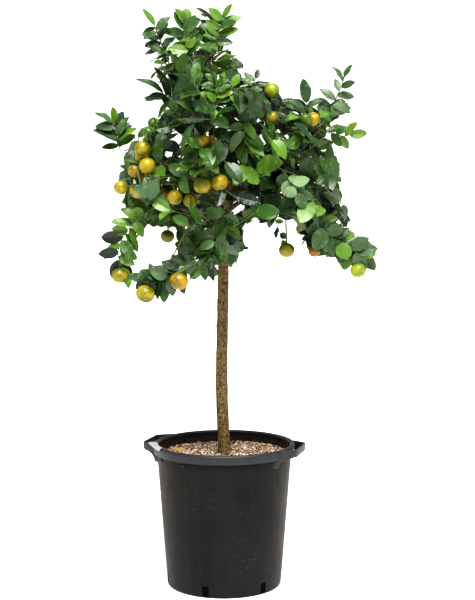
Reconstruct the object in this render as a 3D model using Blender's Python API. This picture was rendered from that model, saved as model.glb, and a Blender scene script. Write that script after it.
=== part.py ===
# A calamondin orange tree, a standard 1.4 m tall, in a black nursery pot with two handles.
# Metres, +Z up. The origin is the centre of the pot's underside, and the tree's front faces -Y.

from math import atan2, cos, pi, radians, sin, sqrt
from random import Random

import bpy
import bmesh
from mathutils import Vector
from mathutils.bvhtree import BVHTree
from mathutils.kdtree import KDTree

GAP = 0.0003  # clearance between pieces that touch

# The pot: one thin moulded shell with a rolled lip, a skirt under it and slots at its foot
POT_HEIGHT = 0.345
RIM_RADIUS = 0.1725
FOOT_RADIUS = 0.1385
NECK_RADIUS = 0.1635  # the wall's outside just under the lip
WALL = 0.003
FLOOR = 0.005
SKIRT = 0.022
LIP_DROP = 0.0045  # from the top of the lip to its underside
FOOT_ROUND = 0.003
POT_SIDES = 40
SLOT_COUNT = 6
SLOT_WIDTH = 0.016
SLOT_HEIGHT = 0.025
SLOT_FOOT = 0.003  # height of a slot's lower edge
SLOT_TURN = radians(-108)  # the first slot's bearing
SLOT_PAST_WALL = 0.015  # how far its cutter runs to each side of the wall
SOIL_TOP = 0.3175

# The handles: open straps level with the lip, each arm held by a curved gusset
HANDLE_TURNS = {"handle_right": radians(-16), "handle_left": radians(164)}
HANDLE_REACH = 0.191  # from the pot's axis to the middle of the end bar
HANDLE_BAR = 0.097
HANDLE_ROOT = 0.136
STRAP_HEIGHT = 0.017
STRAP = 0.003
HANDLE_CORNER = 0.007
HANDLE_SINK = 0.012  # how far an arm runs on under the lip before it is cut
GUSSET = 0.0024
GUSSET_DROP = 0.025
GUSSET_RUN = 0.060
GUSSET_CURVE = 0.037
GUSSET_SINK = 0.002
GUSSET_STEPS = 6

# The trunk, from a flat cut at the soil to the fork in the crown: height, lean and radius
TRUNK_ROUTE = [
    (0.001, 0.0, SOIL_TOP + GAP),
    (0.0, 0.0, 0.335),
    (-0.006, 0.001, 0.487),
    (-0.003, -0.001, 0.684),
    (-0.001, 0.0, 0.800),
    (0.005, 0.0, 0.920),
    (0.017, 0.0, 0.961),
]
TRUNK_RADII = [0.0176, 0.0152, 0.0137, 0.0127, 0.0122, 0.0115, 0.0108]
TRUNK_SIDES = 12
BOUGH_SIDES = 5
BOUGH_STEPS = 2  # rings between one named point and the next
TWIG_SIDES = 3

# Each bough: what it leaves, how far along that, the points it passes, and its radius at both ends
BOUGHS = {
    "bough_leader": (
        "trunk", 1.0, [(0.0, 0.0, 1.03), (-0.028, 0.0, 1.10), (-0.04, 0.0, 1.160)], 0.0090, 0.0050
    ),
    "bough_right": (
        "trunk", 0.940, [(0.06, -0.003, 0.988), (0.12, 0.0, 1.02), (0.178, 0.0, 1.047)], 0.0070, 0.0040
    ),
    "bough_back_right": ("trunk", 0.918, [(0.06, 0.045, 0.978), (0.136, 0.097, 1.026)], 0.0058, 0.0038),
    "bough_left": ("trunk", 0.930, [(-0.04, -0.02, 0.975), (-0.097, -0.048, 0.995)], 0.0066, 0.0040),
    "bough_back_left": ("trunk", 0.905, [(-0.05, 0.05, 0.965), (-0.117, 0.097, 1.016)], 0.0058, 0.0036),
    "bough_right_low": (
        "trunk", 0.905, [(0.06, -0.012, 0.940), (0.13, -0.035, 0.945), (0.209, -0.048, 0.909)], 0.0064, 0.0036
    ),
    "bough_back": ("trunk", 0.890, [(0.008, 0.07, 0.955), (0.01, 0.126, 0.987)], 0.0054, 0.0036),
    "bough_front_hang": ("trunk", 0.880, [(0.002, -0.07, 0.935), (-0.001, -0.146, 0.942)], 0.0060, 0.0036),
    "bough_back_low_right": ("trunk", 0.865, [(0.06, 0.06, 0.910), (0.117, 0.117, 0.918)], 0.0052, 0.0034),
    "bough_left_low": ("trunk", 0.850, [(-0.06, -0.05, 0.905), (-0.130, -0.098, 0.914)], 0.0060, 0.0036),
    "bough_back_low_left": ("trunk", 0.825, [(-0.05, 0.06, 0.895), (-0.107, 0.117, 0.910)], 0.0052, 0.0034),
    "bough_back_low": ("trunk", 0.800, [(-0.008, 0.07, 0.868), (-0.02, 0.116, 0.872)], 0.0048, 0.0032),
    "bough_front": ("bough_leader", 0.16, [(0.006, -0.045, 1.005), (-0.004, -0.086, 1.012)], 0.0050, 0.0034),
    "bough_top_left": (
        "bough_leader", 0.60, [(-0.055, -0.022, 1.12), (-0.083, -0.038, 1.158)], 0.0046, 0.0032
    ),
    "bough_top_right": (
        "bough_leader", 0.45, [(0.006, -0.018, 1.10), (0.016, -0.028, 1.148)], 0.0042, 0.0030
    ),
    "bough_back_top": ("bough_leader", 0.55, [(-0.025, 0.035, 1.09), (-0.03, 0.068, 1.125)], 0.0042, 0.0030),
    "bough_centre_right": (
        "bough_right", 0.30, [(0.075, -0.02, 0.997), (0.09, -0.037, 1.002)], 0.0044, 0.0034
    ),
    "bough_right_outer": (
        "bough_right_low", 0.52, [(0.14, -0.010, 0.962), (0.188, 0.008, 0.966)], 0.0042, 0.0032
    ),
    "bough_left_tip": ("bough_left", 0.55, [(-0.11, -0.026, 1.012), (-0.172, -0.020, 1.029)], 0.0042, 0.0032),
    "bough_front_low": (
        "bough_left_low", 0.45, [(-0.055, -0.105, 0.915), (-0.062, -0.146, 0.901)], 0.0042, 0.0032
    ),
}

# Each mass of foliage: the bough it grows from, the ends of its shoots, its fruit (place and radius),
# the number of twigs that fill it in, and its seed
MASSES = {
    "foliage_top_centre": {
        "bough": "bough_leader",
        "shoots": [
            (-0.026, 0.0, 1.325), (0.060, 0.0, 1.394), (-0.075, -0.03, 1.339), (0.029, 0.04, 1.297),
            (-0.092, 0.04, 1.264), (-0.013, -0.09, 1.226), (-0.043, -0.07, 1.283), (-0.03, 0.09, 1.275),
        ],
        "fruit": [],
        "fill": 3,
        "seed": 11,
    },
    "foliage_top_left": {
        "bough": "bough_top_left",
        "shoots": [
            (-0.157, -0.03, 1.330), (-0.171, -0.07, 1.200), (-0.124, -0.08, 1.236), (-0.159, 0.04, 1.269),
            (-0.174, 0.03, 1.177),
        ],
        "fruit": [],
        "fill": 2,
        "seed": 12,
    },
    "foliage_upper_right": {
        "bough": "bough_top_right",
        "shoots": [(0.076, -0.05, 1.207), (0.053, 0.02, 1.243), (0.098, -0.08, 1.167), (0.092, 0.04, 1.149)],
        "fruit": [(0.112, -0.06, 1.186, 0.0184)],
        "fill": 2,
        "seed": 13,
    },
    "foliage_right_upper": {
        "bough": "bough_right",
        "shoots": [
            (0.279, 0.0, 1.198), (0.185, -0.03, 1.144), (0.278, -0.04, 1.138), (0.285, -0.02, 1.083),
            (0.158, -0.09, 1.107), (0.239, 0.07, 1.123),
        ],
        "fruit": [
            (0.188, -0.11, 1.116, 0.0134), (0.208, -0.07, 1.119, 0.0169), (0.274, -0.04, 1.156, 0.0134),
        ],
        "fill": 2,
        "seed": 14,
    },
    "foliage_right_outer": {
        "bough": "bough_right_outer",
        "shoots": [
            (0.292, 0.0, 1.023), (0.274, -0.05, 0.955), (0.246, -0.10, 0.989), (0.276, 0.03, 0.920),
            (0.240, 0.08, 1.031),
        ],
        "fruit": [],
        "fill": 2,
        "seed": 15,
    },
    "foliage_right_low": {
        "bough": "bough_right_low",
        "shoots": [
            (0.299, -0.09, 0.801), (0.251, -0.05, 0.814), (0.289, -0.04, 0.870), (0.216, -0.08, 0.838),
            (0.258, 0.04, 0.855), (0.330, -0.06, 0.838),
        ],
        "fruit": [(0.313, -0.10, 0.768, 0.0184), (0.213, -0.06, 0.811, 0.0141)],
        "fill": 3,
        "seed": 16,
    },
    "foliage_centre_right": {
        "bough": "bough_centre_right",
        "shoots": [
            (0.139, -0.12, 1.082), (0.088, -0.15, 1.062), (0.171, -0.12, 0.995), (0.111, -0.15, 0.949),
            (0.145, -0.10, 0.835),
        ],
        "fruit": [(0.147, -0.09, 0.815, 0.0184), (0.113, -0.14, 1.117, 0.0154)],
        "fill": 2,
        "seed": 17,
    },
    "foliage_centre_front": {
        "bough": "bough_front",
        "shoots": [
            (-0.025, -0.19, 1.126), (-0.070, -0.17, 1.083), (0.033, -0.17, 1.088), (-0.051, -0.22, 1.019),
            (0.047, -0.18, 1.025), (-0.015, -0.24, 0.974),
        ],
        "fruit": [
            (-0.043, -0.20, 1.062, 0.0156), (-0.023, -0.17, 1.063, 0.0143),
            (-0.007, -0.23, 0.969, 0.0192), (-0.046, -0.23, 0.962, 0.0192),
        ],
        "fill": 3,
        "seed": 18,
    },
    "foliage_front_hang": {
        "bough": "bough_front_hang",
        "shoots": [
            (-0.034, -0.21, 0.806), (-0.081, -0.26, 0.781), (0.029, -0.20, 0.846), (0.006, -0.18, 0.791),
            (0.061, -0.17, 0.890), (-0.060, -0.22, 0.868),
        ],
        "fruit": [(-0.096, -0.27, 0.753, 0.0206), (-0.073, -0.20, 0.929, 0.0161)],
        "fill": 3,
        "seed": 19,
    },
    "foliage_front_low": {
        "bough": "bough_front_low",
        "shoots": [
            (-0.130, -0.24, 0.763), (-0.169, -0.25, 0.741), (-0.101, -0.20, 0.819), (-0.078, -0.22, 0.744),
        ],
        "fruit": [(-0.171, -0.25, 0.724, 0.0212)],
        "fill": 2,
        "seed": 20,
    },
    "foliage_left_fruit": {
        "bough": "bough_left",
        "shoots": [
            (-0.176, -0.17, 1.007), (-0.212, -0.15, 0.967), (-0.146, -0.18, 0.953), (-0.097, -0.18, 0.962),
            (-0.167, -0.14, 1.072), (-0.221, -0.10, 0.931),
        ],
        "fruit": [
            (-0.161, -0.10, 1.108, 0.0138), (-0.170, -0.12, 1.085, 0.0153), (-0.182, -0.17, 1.046, 0.0187),
            (-0.187, -0.13, 1.030, 0.0159), (-0.170, -0.19, 1.007, 0.0186), (-0.200, -0.17, 0.996, 0.0158),
            (-0.181, -0.14, 0.980, 0.0136), (-0.230, -0.180, 0.958, 0.0163), (-0.196, -0.150, 0.952, 0.0181),
            (-0.184, -0.20, 0.948, 0.0161), (-0.156, -0.18, 0.947, 0.0180), (-0.140, -0.14, 0.946, 0.0136),
            (-0.108, -0.19, 0.937, 0.0179),
        ],
        "fill": 2,
        "seed": 21,
    },
    "foliage_left_tip": {
        "bough": "bough_left_tip",
        "shoots": [
            (-0.253, -0.05, 1.098), (-0.210, 0.0, 1.141), (-0.232, 0.03, 1.053), (-0.194, -0.08, 1.089),
        ],
        "fruit": [],
        "fill": 3,
        "seed": 22,
    },
    "foliage_left_arch": {
        "bough": "bough_left_low",
        "shoots": [
            (-0.235, -0.16, 0.790), (-0.234, -0.12, 0.867), (-0.166, -0.16, 0.872), (-0.206, -0.12, 0.816),
        ],
        "fruit": [(-0.235, -0.16, 0.760, 0.0196)],
        "fill": 2,
        "seed": 23,
    },
    "foliage_back_top": {
        "bough": "bough_back_top",
        "shoots": [(-0.03, 0.15, 1.240), (0.045, 0.13, 1.200), (-0.09, 0.14, 1.180), (-0.02, 0.20, 1.150)],
        "fruit": [(0.045, 0.17, 1.150, 0.0170)],
        "fill": 2,
        "seed": 24,
    },
    "foliage_back_left": {
        "bough": "bough_back_left",
        "shoots": [(-0.21, 0.17, 1.090), (-0.17, 0.23, 1.020), (-0.24, 0.11, 1.000), (-0.14, 0.16, 1.120)],
        "fruit": [(-0.19, 0.22, 0.970, 0.0180), (-0.22, 0.18, 1.000, 0.0160)],
        "fill": 2,
        "seed": 25,
    },
    "foliage_back_right": {
        "bough": "bough_back_right",
        "shoots": [(0.24, 0.16, 1.080), (0.19, 0.23, 1.030), (0.13, 0.17, 1.110), (0.27, 0.12, 0.990)],
        "fruit": [(0.17, 0.24, 0.980, 0.0180), (0.22, 0.22, 1.010, 0.0160)],
        "fill": 2,
        "seed": 26,
    },
    "foliage_back": {
        "bough": "bough_back",
        "shoots": [(0.0, 0.25, 1.050), (0.07, 0.24, 0.980), (-0.07, 0.25, 0.970), (0.02, 0.18, 1.080)],
        "fruit": [(-0.03, 0.27, 0.990, 0.0180), (0.02, 0.26, 0.960, 0.0170)],
        "fill": 2,
        "seed": 27,
    },
    "foliage_back_low_left": {
        "bough": "bough_back_low_left",
        "shoots": [(-0.21, 0.15, 0.885), (-0.14, 0.23, 0.875), (-0.20, 0.19, 0.940), (-0.11, 0.20, 0.930)],
        "fruit": [(-0.15, 0.24, 0.840, 0.0180)],
        "fill": 2,
        "seed": 28,
    },
    "foliage_back_low_right": {
        "bough": "bough_back_low_right",
        "shoots": [(0.22, 0.15, 0.890), (0.15, 0.22, 0.885), (0.23, 0.19, 0.930), (0.12, 0.20, 0.940)],
        "fruit": [(0.20, 0.20, 0.860, 0.0180)],
        "fill": 2,
        "seed": 29,
    },
    "foliage_back_low": {
        "bough": "bough_back_low",
        "shoots": [(-0.03, 0.20, 0.800), (0.015, 0.17, 0.820), (-0.07, 0.17, 0.830), (0.0, 0.21, 0.870)],
        "fruit": [(-0.04, 0.22, 0.780, 0.0180)],
        "fill": 2,
        "seed": 30,
    },
}

# The crown seen from the front, in the plane Y = 0: its middle, how far it reaches every 7.5 degrees,
# and the gaps where sky shows, each with its middle and half size across and up
EYE = Vector((0.03, -2.92, 0.91))
CROWN_MIDDLE = Vector((0.03, 0.0, 1.02))
CROWN_DEPTH = 0.325
EDGE_SLACK = 0.006
CROWN_RISE = 0.44  # over and under the middle, where its depth falls to the least
CROWN_REACH = [
    0.29, 0.28, 0.30, 0.31, 0.31, 0.36, 0.33, 0.25, 0.21, 0.21, 0.24, 0.38,
    0.38, 0.38, 0.39, 0.40, 0.40, 0.41, 0.33, 0.30, 0.29, 0.36, 0.35, 0.34,
    0.31, 0.29, 0.30, 0.31, 0.33, 0.40, 0.41, 0.41, 0.41, 0.35, 0.33, 0.25,
    0.25, 0.23, 0.19, 0.26, 0.26, 0.38, 0.41, 0.42, 0.41, 0.31, 0.30, 0.25,
]
SKY_GAPS = [
    (0.032, 1.298, 0.020, 0.036),
    (0.223, 1.212, 0.028, 0.030),
    (-0.105, 1.085, 0.018, 0.022),
    (-0.192, 1.121, 0.017, 0.017),
    (0.069, 0.858, 0.034, 0.026),
    (0.106, 0.827, 0.020, 0.026),
    (0.201, 0.785, 0.042, 0.050),
    (-0.165, 0.822, 0.044, 0.026),
    (0.072, 0.980, 0.012, 0.016),
]

MANIFOLD_UNIONS = {"foliage_top_left"}  # the exact solver leaves these open

# Twigs and leaves
TWIG_RADIUS = 0.0021  # a fill twig's foot
TWIG_TIP = 0.0009
TWIG_STEPS = 3
FOOT_NUDGE = 0.0002  # keeps the feet of twigs that share a place apart
FILL_REACH = (0.035, 0.115)  # how far a fill twig reaches from its foot
FILL_SPREAD = 0.055  # how far past the shoots' ends the fill twigs reach
LEAF_LENGTH = (0.062, 0.090)
LEAF_ASPECT = 0.54
LEAF_WIDEST = 0.45  # share of its length
LEAF_DROOP = 0.08  # share of its length
LEAF_STEP = 0.010  # along the twig from its last leaf to the one before
LEAF_STEP_GROWS = 0.0022  # so leaves crowd at the tip
MOST_LEAVES = 6  # on one twig
BARE_SHARE = 0.33  # of a twig, at its foot
LEAF_TIP = 0.0008  # the last leaf's root, short of the twig's tip
LEAF_OPENING = (radians(40), radians(78))  # between a leaf and its twig
LEAF_HANG = 0.12
LEAF_YIELD = 0.40  # how much smaller a leaf may be made to fit
LEAF_TRIES = 12
STALK = 0.0011
FRUIT_SIDES = 6
FRUIT_RINGS = 4
FRUIT_FLATNESS = 0.92  # height to width
SPACE_MARGIN = 0.0012  # what a leaf keeps to the next mass's space

COLOURS = {
    "pot": ((0.027, 0.027, 0.026), 0.55),
    "soil": ((0.26, 0.20, 0.14), 0.95),
    "bark": ((0.17, 0.12, 0.07), 0.90),
    "leaf": ((0.050, 0.125, 0.035), 0.42),
}


def surface(kind):
    """The Principled material of one kind of surface, made once."""
    found = bpy.data.materials.get(kind)
    if found:
        return found
    colour, roughness = COLOURS[kind]
    made = bpy.data.materials.new(kind)
    made.use_nodes = True
    shader = made.node_tree.nodes["Principled BSDF"]
    shader.inputs["Base Color"].default_value = (*colour, 1.0)
    shader.inputs["Roughness"].default_value = roughness
    shader.inputs["Metallic"].default_value = 0.0
    return made


def make_object(name, shape, kind, sharp=None):
    """A mesh object from a shape, which is a pair: points and faces."""
    mesh = bpy.data.meshes.new(name)
    mesh.from_pydata([tuple(p) for p in shape[0]], [], shape[1])
    mesh.validate()
    mesh.materials.append(surface(kind))
    if sharp is not None:
        mesh.shade_smooth()
        mesh.set_sharp_from_angle(angle=sharp)
    made = bpy.data.objects.new(name, mesh)
    bpy.context.scene.collection.objects.link(made)
    return made


def make_cutter(name, shape):
    """A shape that only cuts others, left out of the build."""
    made = make_object(name, shape, "pot")
    made.hide_render = True
    made.display_type = "WIRE"
    return made


def boolean(target, other, operation):
    """One Boolean modifier, against an object or a whole collection."""
    modifier = target.modifiers.new(operation.lower(), "BOOLEAN")
    modifier.operation = operation
    if isinstance(other, bpy.types.Collection):
        modifier.operand_type = "COLLECTION"
        modifier.collection = other
    else:
        modifier.object = other
    return modifier


def apply_modifier(target, modifier):
    bpy.context.view_layer.objects.active = target
    with bpy.context.temp_override(object=target, active_object=target):
        bpy.ops.object.modifier_apply(modifier=modifier.name)


# Shapes: each is a pair, a list of points and a list of faces


def turned(profile, sides):
    """A profile of (radius, height) turned about the Z axis. It starts and ends on the axis."""
    points = []
    rings = []
    for radius, height in profile:
        if radius == 0:
            rings.append([len(points)])
            points.append(Vector((0, 0, height)))
            continue
        rings.append(list(range(len(points), len(points) + sides)))
        points += [
            Vector((radius * cos(2 * pi * k / sides), radius * sin(2 * pi * k / sides), height))
            for k in range(sides)
        ]
    faces = []
    for low, high in zip(rings, rings[1:]):
        for k in range(sides):
            n = (k + 1) % sides
            if len(low) == 1:
                faces.append((low[0], high[n], high[k]))
            elif len(high) == 1:
                faces.append((low[k], low[n], high[0]))
            else:
                faces.append((low[k], low[n], high[n], high[k]))
    return points, faces


def prism(outline, low, high):
    """An outline in plan, run counter-clockwise, carried from one height to another."""
    count = len(outline)
    points = [Vector((x, y, low)) for x, y in outline] + [Vector((x, y, high)) for x, y in outline]
    faces = [tuple(reversed(range(count))), tuple(range(count, 2 * count))]
    for k in range(count):
        n = (k + 1) % count
        faces.append((k, n, count + n, count + k))
    return points, faces


def ring_frames(route, foot_way):
    """At each point of a route, the way it runs and a side that turns with it as little as it can."""
    ways = []
    for k in range(len(route)):
        way = route[min(k + 1, len(route) - 1)] - route[max(k - 1, 0)]
        ways.append(way.normalized())
    ways[0] = foot_way or ways[0]
    side = ways[0].orthogonal().normalized()
    frames = [(ways[0], side)]
    for before, way in zip(ways, ways[1:]):
        side = before.rotation_difference(way) @ side
        frames.append((way, side))
    return frames


def tube(route, radii, sides, foot_way=None, grow=0.0):
    """A limb along a route: a ring at each point, square to its run, with flat ends. Its foot may be turned."""
    points = []
    for centre, radius, (way, side) in zip(route, radii, ring_frames(route, foot_way)):
        other = way.cross(side)
        for n in range(sides):
            turn = 2 * pi * n / sides
            points.append(centre + (side * cos(turn) + other * sin(turn)) * (radius + grow))
    faces = [tuple(reversed(range(sides)))]
    for k in range(len(route) - 1):
        for n in range(sides):
            m = (n + 1) % sides
            faces.append((k * sides + n, k * sides + m, (k + 1) * sides + m, (k + 1) * sides + n))
    last = (len(route) - 1) * sides
    faces.append(tuple(range(last, last + sides)))
    return points, faces


def leaf(root, way, up, length, width):
    """A thin pointed blade that droops past its widest place, with the line from root to tip as its keel."""
    way = way.normalized()
    across = up.cross(way).normalized()
    up = way.cross(across)
    middle = root + way * length * LEAF_WIDEST
    tip = root + way * length - up * length * LEAF_DROOP
    left = middle + across * width / 2
    right = middle - across * width / 2
    return [root, tip, left, right], [(0, 3, 2), (1, 2, 3), (0, 2, 1), (0, 1, 3)]


def ball(centre, radius):
    """A fruit: a ball a little flatter than it is wide."""
    profile = [
        (radius * sin(pi * k / FRUIT_RINGS), -FRUIT_FLATNESS * radius * cos(pi * k / FRUIT_RINGS))
        for k in range(FRUIT_RINGS + 1)
    ]
    profile[0] = (0, profile[0][1])
    profile[-1] = (0, profile[-1][1])
    points, faces = turned(profile, FRUIT_SIDES)
    return [centre + p for p in points], faces


# Routes: lists of points


def curve_through(knots, steps):
    """Points on a smooth curve through the knots."""
    ends = [knots[0] * 2 - knots[1]] + knots + [knots[-1] * 2 - knots[-2]]
    route = []
    for k in range(len(knots) - 1):
        a, b, c, d = ends[k : k + 4]
        for n in range(steps):
            t = n / steps
            bend = (a * 2 - b * 5 + c * 4 - d) * t * t
            route.append((b * 2 + (c - a) * t + bend + (b * 3 - a - c * 3 + d) * t**3) * 0.5)
    route.append(knots[-1])
    return route


def arch(start, heading, end, lift, steps=TWIG_STEPS):
    """A curved route that leaves along a heading and comes in rising, or hanging where lift is negative."""
    reach = (end - start).length
    straight = (end - start).normalized()
    first = start + (heading.normalized() + straight).normalized() * reach * 0.34
    last = end - (straight + Vector((0, 0, lift))).normalized() * reach * 0.34
    route = []
    for k in range(steps + 1):
        t = k / steps
        u = 1 - t
        route.append(start * u**3 + first * 3 * t * u * u + last * 3 * t * t * u + end * t**3)
    return route


def along(route, share):
    """The point a share of the way along a route."""
    lengths = [(b - a).length for a, b in zip(route, route[1:])]
    left = share * sum(lengths)
    for a, b, length in zip(route, route[1:], lengths):
        if left <= length:
            return a.lerp(b, left / length)
        left -= length
    return route[-1]


def facet_at(stem, share, facet):
    """On a three-sided twig, the middle of it, the way it runs there, and the way one of its facets faces."""
    route = stem["route"]
    lengths = [(b - a).length for a, b in zip(route, route[1:])]
    left = share * sum(lengths)
    k = 0
    while k < len(lengths) - 1 and left > lengths[k]:
        left -= lengths[k]
        k += 1
    way = (route[k + 1] - route[k]).normalized()
    side = ring_frames(route, stem["foot_way"])[k][1]
    side = (side - way * side.dot(way)).normalized()
    turn = 2 * pi * (facet + 0.5) / TWIG_SIDES
    out = side * cos(turn) + way.cross(side) * sin(turn)
    return route[k].lerp(route[k + 1], min(1.0, left / lengths[k])), way, out


def spread(first, last, count):
    return [first + (last - first) * k / (count - 1) for k in range(count)]


def make_pot():
    """The pot's shell, with its six drainage slots cut through the wall at the foot."""
    top = POT_HEIGHT
    profile = [
        (0, 0),
        (FOOT_RADIUS - FOOT_ROUND, 0),
        (FOOT_RADIUS - FOOT_ROUND * 0.3, FOOT_ROUND * 0.3),
        (FOOT_RADIUS, FOOT_ROUND),
        (NECK_RADIUS, top - SKIRT),
        (NECK_RADIUS + 0.0005, top - LIP_DROP),
        (RIM_RADIUS - 0.0042, top - LIP_DROP),
        (RIM_RADIUS - 0.0042, top - SKIRT),
        (RIM_RADIUS - 0.0014, top - SKIRT),
        (RIM_RADIUS, top - 0.006),
        (RIM_RADIUS - 0.0008, top - 0.0022),
        (RIM_RADIUS - 0.0030, top - 0.0004),
        (RIM_RADIUS - 0.0056, top),
        (RIM_RADIUS - 0.0100, top - 0.0006),
        (RIM_RADIUS - 0.0128, top - 0.0030),
        (NECK_RADIUS - WALL + 0.0005, top - 0.0080),
        (FOOT_RADIUS - WALL, FLOOR),
        (0, FLOOR),
    ]
    pot = make_object("pot", turned(profile, POT_SIDES), "pot", radians(40))
    slots = bpy.data.collections.new("slots")
    bpy.context.scene.collection.children.link(slots)
    inner, outer, half = FOOT_RADIUS - SLOT_PAST_WALL, FOOT_RADIUS + SLOT_PAST_WALL, SLOT_WIDTH / 2
    outline = [(inner, -half), (outer, -half), (outer, half), (inner, half)]
    for k in range(SLOT_COUNT):
        cutter = make_cutter(f"slot_{k + 1}", prism(outline, SLOT_FOOT, SLOT_FOOT + SLOT_HEIGHT))
        cutter.rotation_euler.z = SLOT_TURN + 2 * pi * k / SLOT_COUNT
        bpy.context.scene.collection.objects.unlink(cutter)
        slots.objects.link(cutter)
    boolean(pot, slots, "DIFFERENCE")


def make_soil():
    """The root ball and gravel, one solid that fills the pot to just under its lip."""
    wall_slope = (NECK_RADIUS - FOOT_RADIUS) / (POT_HEIGHT - SKIRT - FOOT_ROUND)
    low = FLOOR + GAP
    foot = FOOT_RADIUS - WALL - GAP * 2
    brim = foot + (SOIL_TOP - low) * wall_slope - GAP
    profile = [(0, low), (foot, low), (brim, SOIL_TOP), (0, SOIL_TOP)]
    make_object("soil", turned(profile, POT_SIDES), "soil", radians(40))


def strip(path, width):
    """The outline in plan of a band of one width that runs along a path."""
    right = []
    left = []
    for k, point in enumerate(path):
        before = (point - path[k - 1]).normalized() if k else (path[1] - point).normalized()
        after = (path[k + 1] - point).normalized() if k + 1 < len(path) else before
        way = (before + after).normalized()
        out = Vector((way.y, -way.x)) * width / 2 / way.dot(after)
        right.append(point + out)
        left.append(point - out)
    return [tuple(p) for p in right + left[::-1]]


def handle_arm():
    """The path of one arm in plan, about the +X axis, from the end bar to inside the lip."""
    root = Vector((sqrt(RIM_RADIUS**2 - (HANDLE_ROOT / 2) ** 2), HANDLE_ROOT / 2))
    corner = Vector((HANDLE_REACH, HANDLE_BAR / 2))
    inward = (root - corner).normalized()
    bar_side = corner - Vector((0, HANDLE_CORNER))
    arm_side = corner + inward * HANDLE_CORNER
    middle = bar_side * 0.25 + corner * 0.5 + arm_side * 0.25
    return [bar_side, middle, arm_side, root + inward * HANDLE_SINK]


def gusset(arm, side):
    """The web under one arm: its lower edge is a hollow curve from the end bar down to the wall."""
    start = arm[2]
    inward = (arm[3] - arm[2]).normalized()
    square = Vector((inward.y, -inward.x)) * GUSSET / 2
    top = POT_HEIGHT - STRAP_HEIGHT + GUSSET_SINK
    low = POT_HEIGHT - STRAP_HEIGHT - GUSSET_DROP
    outline = [(GUSSET_RUN, low), (GUSSET_RUN, top), (0, top)]
    start_height = top - GUSSET_SINK * 2
    for k in range(GUSSET_STEPS + 1):
        turn = pi / 2 * k / GUSSET_STEPS
        outline.append((GUSSET_CURVE * sin(turn), start_height - (start_height - low) * (1 - cos(turn))))
    points = []
    for off in (-square, square):
        for run, height in outline:
            place = start + inward * run + off
            points.append(Vector((place.x, place.y * side, height)))
    count = len(outline)
    faces = [tuple(range(count)), tuple(reversed(range(count, 2 * count)))]
    faces += [(k, count + k, count + (k + 1) % count, (k + 1) % count) for k in range(count)]
    return points, faces if side < 0 else [tuple(reversed(face)) for face in faces]


def make_handles():
    """Both handles from one mesh, each cut to sit against the lip, the skirt and the wall."""
    arm = handle_arm()
    path = [Vector((p.x, -p.y)) for p in reversed(arm)] + arm
    band = make_object("handle", prism(strip(path, STRAP), POT_HEIGHT - STRAP_HEIGHT, POT_HEIGHT), "pot")
    join("handle", band, [gusset(arm, side) for side in (1, -1)])
    top = POT_HEIGHT
    under = top - SKIRT - GAP
    profile = [
        (0, -0.01),
        (FOOT_RADIUS + GAP, -0.01),
        (FOOT_RADIUS + GAP, FOOT_ROUND),
        (NECK_RADIUS + GAP, under),
        (RIM_RADIUS - 0.0014 + GAP, under),
        (RIM_RADIUS + GAP, top - 0.006),
        (RIM_RADIUS - 0.0008 + GAP, top - 0.0022),
        (RIM_RADIUS - 0.0026 + GAP, top - 0.0004 + GAP),
        (RIM_RADIUS - 0.0040 + GAP, top + 0.01),
        (0, top + 0.01),
    ]
    clearance = make_cutter("pot_clearance", turned(profile, POT_SIDES))
    for name, turn in HANDLE_TURNS.items():
        handle = bpy.data.objects.new(name, band.data)
        bpy.context.scene.collection.objects.link(handle)
        handle.rotation_euler.z = turn
        boolean(handle, clearance, "DIFFERENCE")
    bpy.data.objects.remove(band)


def join(name, base, shapes):
    """One union of a base object and a collection of shapes, which are then removed."""
    group = bpy.data.collections.new(name + "_parts")
    bpy.context.scene.collection.children.link(group)
    for k, shape in enumerate(shapes):
        piece = make_object(f"{name}_part_{k}", shape, base.data.materials[0].name)
        bpy.context.scene.collection.objects.unlink(piece)
        group.objects.link(piece)
    modifier = boolean(base, group, "UNION")
    if name in MANIFOLD_UNIONS:
        modifier.solver = "MANIFOLD"
    apply_modifier(base, modifier)
    for piece in list(group.objects):
        bpy.data.objects.remove(piece)
    bpy.data.collections.remove(group)
    keep_one_body(base)


def keep_one_body(target):
    """Drops loose scraps, and fills sealed hollows by dropping the shells round them."""
    mesh = bmesh.new()
    mesh.from_mesh(target.data)
    left = set(mesh.verts)
    bodies = []
    while left:
        body = set()
        edge = [next(iter(left))]
        while edge:
            point = edge.pop()
            if point in body:
                continue
            body.add(point)
            edge += [e.other_vert(point) for e in point.link_edges]
        bodies.append(body)
        left -= body
    bodies.sort(key=len)
    for body in bodies[:-1]:
        bmesh.ops.delete(mesh, geom=list(body), context="VERTS")
    mesh.to_mesh(target.data)
    mesh.free()


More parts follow.
